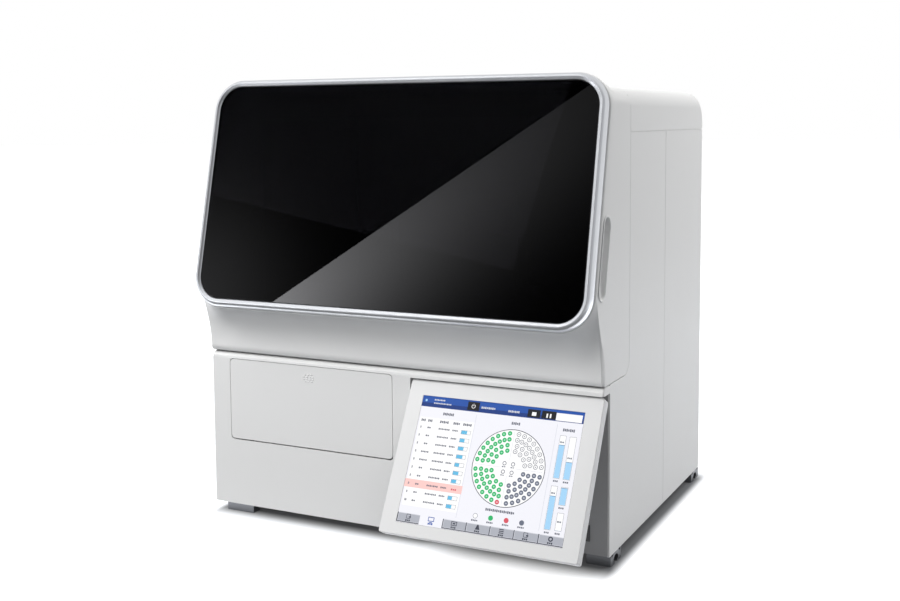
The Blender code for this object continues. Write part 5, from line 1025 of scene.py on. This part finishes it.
def drawn_group():
    """Fine lines left by drawing, brushing or machining: noise stretched along one axis."""
    inputs = {"Color": (0.6, 0.6, 0.6, 1), "Along": (1, 1, 1), "Lines": 700.0, "Tone": 0.1}
    inputs |= {"Roughness": 0.3, "Uneven": 0.12, "Depth": 0.00001}

    def fields(made, given):
        stretched = vectors(made, "MULTIPLY", object_place(made), given["Along"])
        return [noise(made, stretched, given["Lines"], 3.0)] * 3

    return skin_group("drawn_metal", inputs, fields)


def dust_group():
    """A thin settled film: more on faces that look up, broken by noise."""
    inputs = {"Color": (0.8, 0.8, 0.8, 1), "Dust": (0.6, 0.59, 0.57, 1), "Amount": 0.1}
    made, given, out = group("settled_dust", inputs, {"Color": COLOUR, "Mask": FLOAT})
    normal = node(made, "NewGeometry").outputs["Normal"]
    up = smoothstep(made, node(made, "SeparateXYZ", normal).outputs["Z"], From_Min=0.2)
    both = maths(made, "MULTIPLY", up, noise(made, object_place(made), 24.0, 5.0))
    share = maths(made, "MULTIPLY", both, given["Amount"], clamp=True)
    feed(made, out.inputs["Color"], mixed(made, share, given["Color"], given["Dust"]))
    feed(made, out.inputs["Mask"], share)
    return made


GROUPS = {}


def use(tree, maker, **values):
    """A group node in the tree: its group is made once, by the function that is given."""
    if maker not in GROUPS:
        GROUPS[maker] = maker()
    made = tree.nodes.new("ShaderNodeGroup")
    made.node_tree = GROUPS[maker]
    for key, value in values.items():
        feed(tree, made.inputs[key], value)
    return made


def shader_of(name, **sockets):
    made = bpy.data.materials.new(name)
    made.use_nodes = True
    tree = made.node_tree
    shader = tree.nodes["Principled BSDF"]
    for key, value in sockets.items():
        feed(tree, shader.inputs[key.replace("_", " ")], value)
    return made, tree, shader


def glowing(name):
    """A material with an empty tree, to be filled with light alone."""
    made = bpy.data.materials.new(name)
    made.use_nodes = True
    made.node_tree.nodes.clear()
    return made, made.node_tree


def emit(tree, light, strength):
    """Fills an empty tree with light of one colour."""
    glow = node(tree, "Emission", Color=light, Strength=strength)
    node(tree, "OutputMaterial", glow.outputs[0])


def skinned(name, maker, dust, sockets, **values):
    """A finish whose colour, roughness and normal come from a skin, under a film of dust if any."""
    made, tree, shader = shader_of(name, **sockets)
    skin = use(tree, maker, **values).outputs
    colour = skin["Color"]
    if dust:
        colour = use(tree, dust_group, Color=colour, Amount=dust).outputs["Color"]
    feed(tree, shader.inputs["Base Color"], colour)
    feed(tree, shader.inputs["Roughness"], skin["Roughness"])
    feed(tree, shader.inputs["Normal"], skin["Normal"])
    return made


def plastic(name, colour, roughness, grain, depth, tone, dust, **sockets):
    """Moulded plastic or enamel: grain and mottle, with a film of dust where it may settle."""
    skin = {"Color": (*colour, 1), "Roughness": roughness, "Grain": grain, "Depth": depth, "Tone": tone}
    return skinned(name, moulded_group, dust, sockets, **skin)


def metal(name, colour, roughness, along, lines, tone, uneven, depth):
    """Drawn, brushed or machined metal with fine lines across the given stretch."""
    skin = {"Color": (*colour, 1), "Along": along, "Lines": lines, "Tone": tone}
    skin.update(Roughness=roughness, Uneven=uneven, Depth=depth)
    return skinned(name, drawn_group, 0, {"Metallic": 1.0}, **skin)


def smoked_pane():
    """Dark tinted pane: clear gloss over a deep tint, with a trace of unevenness in the polish."""
    sockets = {"IOR": 1.49, "Transmission_Weight": 1.0, "Metallic": 0.0}
    skin = {"Roughness": 0.006, "Grain": 9.0, "Depth": 0.0000012, "Tone": 0.10, "Uneven": 0.006}
    tint = (*bpy.context.scene.colours.pane, 1)
    return skinned("smoked_pane", moulded_group, 0, sockets, Color=tint, **skin)


def picture_finish():
    """Lit picture: each tile shines in its own colour, with a fine dot mesh under the glass."""
    made, tree, shader = shader_of("screen_picture", IOR=1.45, Emission_Strength=0.92, Roughness=0.22)
    ink = node(tree, "Attribute", attribute_name="ink").outputs["Color"]
    dots = noise(tree, object_place(tree), 2400.0, 1.0)
    fine = node(tree, "MapRange", dots, To_Min=0.93, To_Max=1.03).outputs[0]
    shown = vectors(tree, "SCALE", ink, Scale=fine)
    feed(tree, shader.inputs["Base Color"], vectors(tree, "SCALE", shown, Scale=0.08))
    feed(tree, shader.inputs["Emission Color"], shown)
    return made


def circuit_board():
    """Solder mask with lighter tracks: a fine brick pattern whose joints are the tracks."""
    made, tree, shader = shader_of("board_green", Roughness=0.38, Coat_Weight=0.3, Coat_Roughness=0.2)
    bricks = {"Scale": 90.0, "offset": 0.37, "Mortar_Size": 0.035, "Mortar": (0.05, 0.30, 0.15, 1)}
    bricks |= {"Color1": (0.012, 0.13, 0.055, 1), "Color2": (0.018, 0.16, 0.070, 1)}
    tracks = node(tree, "TexBrick", object_place(tree), **bricks)
    film = use(tree, dust_group, Color=tracks.outputs["Color"], Amount=0.15)
    feed(tree, shader.inputs["Base Color"], film.outputs["Color"])
    return made


def galvanised():
    """Zinc-coated sheet: flat-sided spangles that differ a little in tone and gloss."""
    made, tree, shader = shader_of("sheet_steel", Metallic=0.9)
    cells = node(tree, "TexVoronoi", object_place(tree), Scale=85.0).outputs["Color"]
    feed(tree, shader.inputs["Base Color"], mixed(tree, cells, (0.30, 0.31, 0.33, 1), (0.42, 0.43, 0.45, 1)))
    gloss = node(tree, "MapRange", cells, To_Min=0.32, To_Max=0.50).outputs[0]
    feed(tree, shader.inputs["Roughness"], gloss)
    return made


COATED = {"Coat_Weight": 0.4, "Coat_Roughness": 0.05}
# Colour or its setting, roughness, grain, its depth, unevenness of tone, dust, and other sockets
PLASTICS = {
    "housing_white": ("housing", 0.40, 1300.0, 0.000012, 0.012, 0.05, {"Specular_IOR_Level": 0.30}),
    "screen_white": ("screen", 0.36, 1300.0, 0.000010, 0.010, 0.03, {"Specular_IOR_Level": 0.32}),
    # recess_grey: its mid-grey is partly painted shade, for the shade behind the touchscreen
    "recess_grey": ("recess", 0.52, 1100.0, 0.00003, 0.05, 0.10, {}),
    "display_glass": ((0.03, 0.03, 0.035), 0.12, 400.0, 0.000002, 0.05, 0.02, COATED),
    "deck_grey": ((0.52, 0.54, 0.56), 0.50, 700.0, 0.00004, 0.03, 0.10, {}),
    "black_plastic": ((0.022, 0.022, 0.024), 0.42, 1000.0, 0.00002, 0.15, 0.05, {}),
    "rack_blue": ((0.08, 0.20, 0.42), 0.38, 800.0, 0.00002, 0.06, 0.05, {}),
    "bottle_white": ((0.78, 0.79, 0.76), 0.36, 500.0, 0.00002, 0.04, 0.04, {"Subsurface_Weight": 0.15}),
    "bin_grey": ((0.33, 0.35, 0.37), 0.48, 900.0, 0.00003, 0.04, 0.10, {}),
}
# Colour or its setting, roughness, stretch of the lines, their scale, unevenness of tone and gloss, depth
METALS = {
    "satin_silver": ("silver", 0.30, (1, 1, 1), 1500.0, 0.05, 0.08, 0.000004),
    "slotted_aluminium": ((0.22, 0.225, 0.24), 0.42, (0.08, 1, 1), 900.0, 0.30, 0.14, 0.00002),
    # Painted shade: a darker copy of slotted aluminium for the feet at the right and rear
    "slotted_dull": ((0.165, 0.17, 0.18), 0.45, (0.08, 1, 1), 900.0, 0.30, 0.14, 0.00002),
    "anodised_dark": ((0.15, 0.16, 0.18), 0.34, (1, 1, 0.1), 800.0, 0.12, 0.10, 0.000008),
    "bright_steel": ((0.55, 0.56, 0.575), 0.27, (1, 1, 0.06), 1100.0, 0.06, 0.10, 0.000006),
}
OTHERS = {
    "smoked_pane": smoked_pane,
    "screen_picture": picture_finish,
    "sheet_steel": galvanised,
    "board_green": circuit_board,
}
MADE = {}


def finish(name):
    """The named finish, made once."""
    if name not in MADE:
        if name in OTHERS:
            MADE[name] = OTHERS[name]()
        else:
            colour, *numbers = (PLASTICS | METALS)[name]
            if isinstance(colour, str):
                colour = getattr(bpy.context.scene.colours, colour)
            if name in METALS:
                MADE[name] = metal(name, colour, *numbers)
            else:
                MADE[name] = plastic(name, colour, *numbers[:-1], **numbers[-1])
    return MADE[name]


# Painted shade: the feet at the right and at the rear get a darker copy of the front left one's finish, for
# the shade they stand in
SHADED_FEET = dict.fromkeys(("foot_front_right", "foot_rear_right", "foot_rear_left"), "slotted_dull")


class ANALYZER_OT_finishes(bpy.types.Operator):
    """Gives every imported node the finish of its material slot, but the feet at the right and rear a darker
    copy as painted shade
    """

    bl_idname = "analyzer.finishes"
    bl_label = "Finishes"

    def execute(self, context):
        for name, obj in NODES.items():
            made = finish(SHADED_FEET.get(name, SLOT_OF[name]))
            if not obj.material_slots:
                obj.data.materials.append(made)
            for slot in obj.material_slots:
                slot.material = made
        return {"FINISHED"}


# Smooth copies of the nodes that have round faces

REPLACED = ("hood_shell", "lid_frame", "lid_pane", "grip_cup_right", "grip_cup_left")
FLAT_NODES = ("screen_display", "lower_frame", "upper_frame", "recess_panel", "base_tray", "deck_plate")
FLAT_NODES += ("power_supply", "access_door")
# Faces that turn by less than this are one flat face, and edges sharper than this stay sharp, in degrees
FLAT_WITHIN = 0.3
ROUND_SHARP = 35


def smooth_copy(name):
    """The node's mesh merged, its flat faces joined and its round faces shaded smooth."""
    mesh = bpy.data.meshes.new(name)
    bm = bmesh.new()
    bm.from_mesh(NODES[name].data)
    bmesh.ops.remove_doubles(bm, verts=bm.verts, dist=MERGE)
    bmesh.ops.dissolve_limit(bm, angle_limit=math.radians(FLAT_WITHIN), verts=bm.verts, edges=bm.edges)
    bm.to_mesh(mesh)
    bm.free()
    return smooth(mesh, ROUND_SHARP)


class ANALYZER_OT_round_pieces(bpy.types.Operator):
    """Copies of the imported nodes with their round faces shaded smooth"""

    bl_idname = "analyzer.round_pieces"
    bl_label = "Round pieces"

    def execute(self, context):
        for name in NODES:
            if name not in REPLACED and name not in FLAT_NODES:
                # The feet at the right and rear keep the darker painted-shade finish
                mesh, slot = smooth_copy(name), SLOT_OF[name]
                keep_flat(piece(f"{name}_fine", mesh, SHADED_FEET.get(name, slot), BODY_OF[name], name, slot=slot))
        return {"FINISHED"}


# Studio

WHITE = (1, 1, 1, 1)


def seen_directly(tree):
    """One for camera, glossy and transmission rays, which are the ones that show the background."""
    path = node(tree, "LightPath").outputs
    total = path["Is Camera Ray"]
    for ray in ("Is Glossy Ray", "Is Transmission Ray"):
        total = maths(tree, "MAXIMUM", total, path[ray])
    return total


def outside(tree, where, middle, half, slower=1.0):
    """How far a place is out of a rectangle: the length of max(|p - middle| - half, 0), y scaled."""
    size = vectors(tree, "ABSOLUTE", vectors(tree, "SUBTRACT", where, (*middle, 0)))
    beyond = vectors(tree, "MAXIMUM", vectors(tree, "SUBTRACT", size, (*half, 0)))
    return vectors(tree, "LENGTH", vectors(tree, "MULTIPLY", beyond, (1, slower, 1)))


# Painted shadow on the floor, which darkens its colour round the body on top of the cast shadow: its
# full depth ends this far inside the body's outline and it fades out over the reach. Front to back it
# fades more slowly, and at its deepest it keeps a share of the tone.
PAINTED_SHADOW_INSET = (0.002, 0.035)
PAINTED_SHADOW_SLOWER = 0.34
PAINTED_SHADOW_REACH = 0.0245
PAINTED_SHADOW_TONE = 0.20
GLOW_FROM = -0.003
# Share of the floor's tone that lights the object, against what the camera sees
FLOOR_BOUNCE = 0.35


def floor_material():
    """Pale floor with the object's shadow, cast and painted: away from the body it gains light of its own in
    the picture.
    """
    tone = bpy.context.scene.colours.floor
    made, tree, shader = shader_of("studio_floor", Roughness=0.9, Specular_IOR_Level=0.1)
    seen = seen_directly(tree)
    half_w, half_d = bpy.context.scene.hood_sizes.side, (NODES_REAR - FASCIA_LOW.y) / 2
    middle = (0, (FASCIA_LOW.y + NODES_REAR) / 2)
    half = (half_w - PAINTED_SHADOW_INSET[0], half_d - PAINTED_SHADOW_INSET[1])
    reach = outside(tree, object_place(tree), middle, half, PAINTED_SHADOW_SLOWER)
    # Painted shadow: the floor's colour is darkened by how far it lies out of the inset outline
    shade = smoothstep(tree, reach, From_Max=PAINTED_SHADOW_REACH, To_Min=PAINTED_SHADOW_TONE)
    shaded = vectors(tree, "SCALE", tone, Scale=shade)
    base = mixed(tree, seen, (*(FLOOR_BOUNCE * c for c in tone), 1), shaded)
    feed(tree, shader.inputs["Base Color"], base)
    rise = smoothstep(tree, reach, From_Min=GLOW_FROM, From_Max=PAINTED_SHADOW_REACH)
    glow = node(tree, "Emission", Color=WHITE, Strength=maths(tree, "MULTIPLY", rise, seen))
    both = node(tree, "AddShader", shader.outputs[0], glow.outputs[0])
    feed(tree, tree.nodes["Material Output"].inputs["Surface"], both.outputs[0])
    return made


# Dark card that the pane reflects, with a slanting lit field: sizes on the card, from the pane's axis
CARD_OUT = 1.6
CARD_SPAN = ((-3.6, 3.6), (-0.9, 2.4))
CARD_TINT = (0.97, 0.97, 1.0, 1)
# The lit field: its edge, its light, and how fast it fades along and across the edge
CARD_EDGE_FROM = (-1.276, -0.089)
CARD_EDGE_TO = (-0.301, 0.578)
CARD_LIGHT = 5.0
CARD_FADE_ALONG = 2.46
CARD_FADE_ACROSS = 16.0
# The dark field, the grey that surrounds it and how soon, and a soft glow at a corner
CARD_MIDDLE = (-0.80, 0.25)
CARD_DARK_HALF = (0.95, 0.50)
CARD_GREY = 0.55
CARD_GREY_REACH = 0.5
CARD_GLOW = 0.55
CARD_GLOW_AT = (-1.62, -0.12)
CARD_GLOW_FALL = 9.0
# Card on the floor: its sides, its front, its gap to the body, its height and its light
FLOOR_CARD_HALF = 1.6
FLOOR_CARD_FRONT = -1.9
FLOOR_CARD_GAP = 0.12
FLOOR_CARD_Z = 0.002
FLOOR_CARD_LIGHT = 0.24


def dot_with(tree, value, vector, offset):
    """The dot product of a value with a vector, plus an offset."""
    return maths(tree, "ADD", vectors(tree, "DOT_PRODUCT", value, vector), offset)


def power_of_e(tree, exponent, factor):
    """exp(exponent) times a factor."""
    return maths(tree, "MULTIPLY", maths(tree, "POWER", math.e, exponent), factor)


def card_material():
    """Dark, but for a field below a slanting edge, a soft glow at a corner and grey all round.

    The field's light is exp(-a s - b d^2), s along the edge and d from it, and the glow's exp(-c r^2).
    """
    made, tree = glowing("reflector_card")
    where = object_place(tree)
    start, end = Vector((*CARD_EDGE_FROM, 0)), Vector((*CARD_EDGE_TO, 0))
    along = (end - start).normalized()
    across = Vector((along.y, -along.x, 0))
    s = maths(tree, "MAXIMUM", dot_with(tree, where, along, -along.dot(start)), 0.0)
    d = dot_with(tree, where, across, -across.dot(start))
    fade = maths(tree, "MULTIPLY", maths(tree, "MULTIPLY", d, d), -CARD_FADE_ACROSS)
    fade = maths(tree, "ADD", fade, maths(tree, "MULTIPLY", s, -CARD_FADE_ALONG))
    field = power_of_e(tree, fade, maths(tree, "GREATER_THAN", d, 0.0))
    far = outside(tree, where, CARD_MIDDLE, CARD_DARK_HALF)
    surround = smoothstep(tree, far, From_Max=CARD_GREY_REACH, To_Max=CARD_GREY)
    strength = maths(tree, "ADD", maths(tree, "MULTIPLY", field, CARD_LIGHT), surround)
    reach = vectors(tree, "DISTANCE", where, (*CARD_GLOW_AT, 0))
    fall = maths(tree, "MULTIPLY", maths(tree, "MULTIPLY", reach, reach), -CARD_GLOW_FALL)
    emit(tree, CARD_TINT, maths(tree, "ADD", strength, power_of_e(tree, fall, CARD_GLOW)))
    return made


def gloss_card(name, x_ends, y_ends, z, made):
    """A flat card of the studio that shows in gloss only."""
    x, y = np.meshgrid(np.array(x_ends, float), np.array(y_ends, float), indexing="ij")
    card = loose(name, surface(name, at(x, y, z)))
    card.data.materials.append(made)
    card.visible_camera = card.visible_diffuse = card.visible_transmission = card.visible_shadow = False
    return card


def reflector_cards():
    """One card stands parallel to the pane, and a grey one lies on the floor in front of the body."""
    s = bpy.context.scene.hood_sizes
    sine, cosine = math.sin(s.pane_lean), math.cos(s.pane_lean)
    up, out = Vector((0, sine, cosine)), Vector((0, -cosine, sine))
    card = gloss_card("reflector_card", *CARD_SPAN, 0.0, card_material())
    centre = ORIGIN + Vector((0, s.pane_y, s.pane_z)) + out * CARD_OUT
    turn = Matrix((Vector((1, 0, 0)), up, out)).transposed()
    card.matrix_world = Matrix.Translation(centre) @ turn.to_4x4()
    grey, tree = glowing("floor_card")
    emit(tree, WHITE, FLOOR_CARD_LIGHT)
    x_ends, y_ends = (-FLOOR_CARD_HALF, FLOOR_CARD_HALF), (FLOOR_CARD_FRONT, FASCIA_LOW.y - FLOOR_CARD_GAP)
    gloss_card("floor_card", x_ends, y_ends, FLOOR_CARD_Z, grey)


# Lamps: where each stands, what it is aimed at, its width, and whether gloss shows it
LAMPS = {
    "key": ((-1.9, -2.6, 2.5), (0, 0, 0.35), 2.2, True),
    "high": ((-1.3, -2.2, 3.4), (0, 0, 0.35), 1.8, True),
    "fill": ((2.2, -2.6, 1.3), (0, 0, 0.35), 1.8, True),
    "rear": ((1.4, 1.15, 2.0), (0.3, 0.2, 0.4), 1.4, False),
    "back": ((-1.3, 2.9, 2.2), (0, 0.3, 0.4), 1.8, False),
}
FLOOR_RINGS = (0.5, 2.0, 8.0, 30.0)
FLOOR_SIDES = 96


def area_light(name, place_at, aim, size, watts):
    data = bpy.data.lights.new(name, "AREA")
    data.shape = "SQUARE"
    data.size = size
    data.energy = watts
    made = bpy.data.objects.new(name, data)
    made.location = place_at
    made.rotation_euler = (Vector(aim) - Vector(place_at)).to_track_quat("-Z", "Y").to_euler()
    bpy.context.scene.collection.objects.link(made)
    return made


def camera_axes(yaw, pitch, roll):
    """Right, up and forward of a camera that stands round to the right and looks down."""
    forward = Vector((-math.sin(yaw) * math.cos(pitch), math.cos(yaw) * math.cos(pitch), -math.sin(pitch)))
    right = Vector((math.cos(yaw), math.sin(yaw), 0))
    up = right.cross(forward)
    c, s = math.cos(roll), math.sin(roll)
    return right * c + up * s, up * c - right * s, forward


def studio_world(strength):
    """Even light of the given strength, which shows itself as plain white."""
    world = bpy.data.worlds.new("studio")
    world.use_nodes = True
    tree = world.node_tree
    tree.nodes.clear()
    lamp = node(tree, "Background", Color=WHITE, Strength=strength)
    white = node(tree, "Background", Color=WHITE, Strength=1.0)
    choice = node(tree, "MixShader", seen_directly(tree), lamp.outputs[0], white.outputs[0])
    node(tree, "OutputWorld", choice.outputs[0])
    return world


class ANALYZER_OT_stage(bpy.types.Operator):
    """Pale floor, soft studio lights, a dark card for the pane to reflect, and the camera"""

    bl_idname = "analyzer.stage"
    bl_label = "Stage"

    def execute(self, context):
        scene = context.scene
        s = scene.stage_settings
        scene.view_settings.view_transform = "Standard"
        right, up, forward = camera_axes(s.yaw, s.pitch, s.roll)
        data = bpy.data.cameras.new("camera")
        data.lens = s.lens
        data.shift_y = s.shift
        data.clip_end = 100
        camera = bpy.data.objects.new("camera", data)
        turn = Matrix((right, up, -forward)).transposed()
        camera.matrix_world = Matrix.Translation(CAMERA_AT) @ turn.to_4x4()
        scene.collection.objects.link(camera)
        scene.camera = camera
        ring = np.radians(np.arange(FLOOR_SIDES) * 360 / FLOOR_SIDES)
        rows = [at(r * np.cos(ring), r * np.sin(ring), 0.0) for r in FLOOR_RINGS]
        floor = loose("floor", surface("floor", rows, close_points=True, cap_first=True))
        floor.data.materials.append(floor_material())
        reflector_cards()
        for name, (place_at, aim, size, in_gloss) in LAMPS.items():
            area_light(name, place_at, aim, size, getattr(s, name)).visible_glossy = in_gloss
        scene.world = studio_world(s.world)
        return {"FINISHED"}


class ANALYZER_PT_panel(bpy.types.Panel):
    """Lists the sizes, colours and steps of the analyzer"""

    bl_idname = "ANALYZER_PT_panel"
    bl_label = "Analyzer"
    bl_space_type = "VIEW_3D"
    bl_region_type = "UI"
    bl_category = "Analyzer"

    def draw(self, context):
        layout = self.layout
        for settings in (context.scene.hood_sizes, context.scene.colours, context.scene.stage_settings):
            box = layout.box()
            for key in settings.__annotations__:
                box.prop(settings, key)
        for step in STEPS:
            layout.operator(step.bl_idname)


STEPS = (
    ANALYZER_OT_finishes,
    ANALYZER_OT_hood,
    ANALYZER_OT_lid,
    ANALYZER_OT_grip_cups,
    ANALYZER_OT_push_dots,
    ANALYZER_OT_seams,
    ANALYZER_OT_picture,
    ANALYZER_OT_round_pieces,
    ANALYZER_OT_stage,
)
CLASSES = (HoodSizes, Colours, StageSettings, *STEPS, ANALYZER_PT_panel)
SETTINGS = {"hood_sizes": HoodSizes, "colours": Colours, "stage_settings": StageSettings}


def register():
    for cls in CLASSES:
        bpy.utils.register_class(cls)
    for key, cls in SETTINGS.items():
        setattr(bpy.types.Scene, key, PointerProperty(type=cls))


def unregister():
    for key in SETTINGS:
        delattr(bpy.types.Scene, key)
    for cls in reversed(CLASSES):
        bpy.utils.unregister_class(cls)


def main():
    register()
    bpy.ops.analyzer.finishes()
    bpy.ops.analyzer.hood()
    bpy.ops.analyzer.lid()
    bpy.ops.analyzer.grip_cups()
    bpy.ops.analyzer.push_dots()
    bpy.ops.analyzer.seams()
    bpy.ops.analyzer.picture()
    bpy.ops.analyzer.round_pieces()
    bpy.ops.analyzer.stage()


if __name__ == "__main__":
    main()
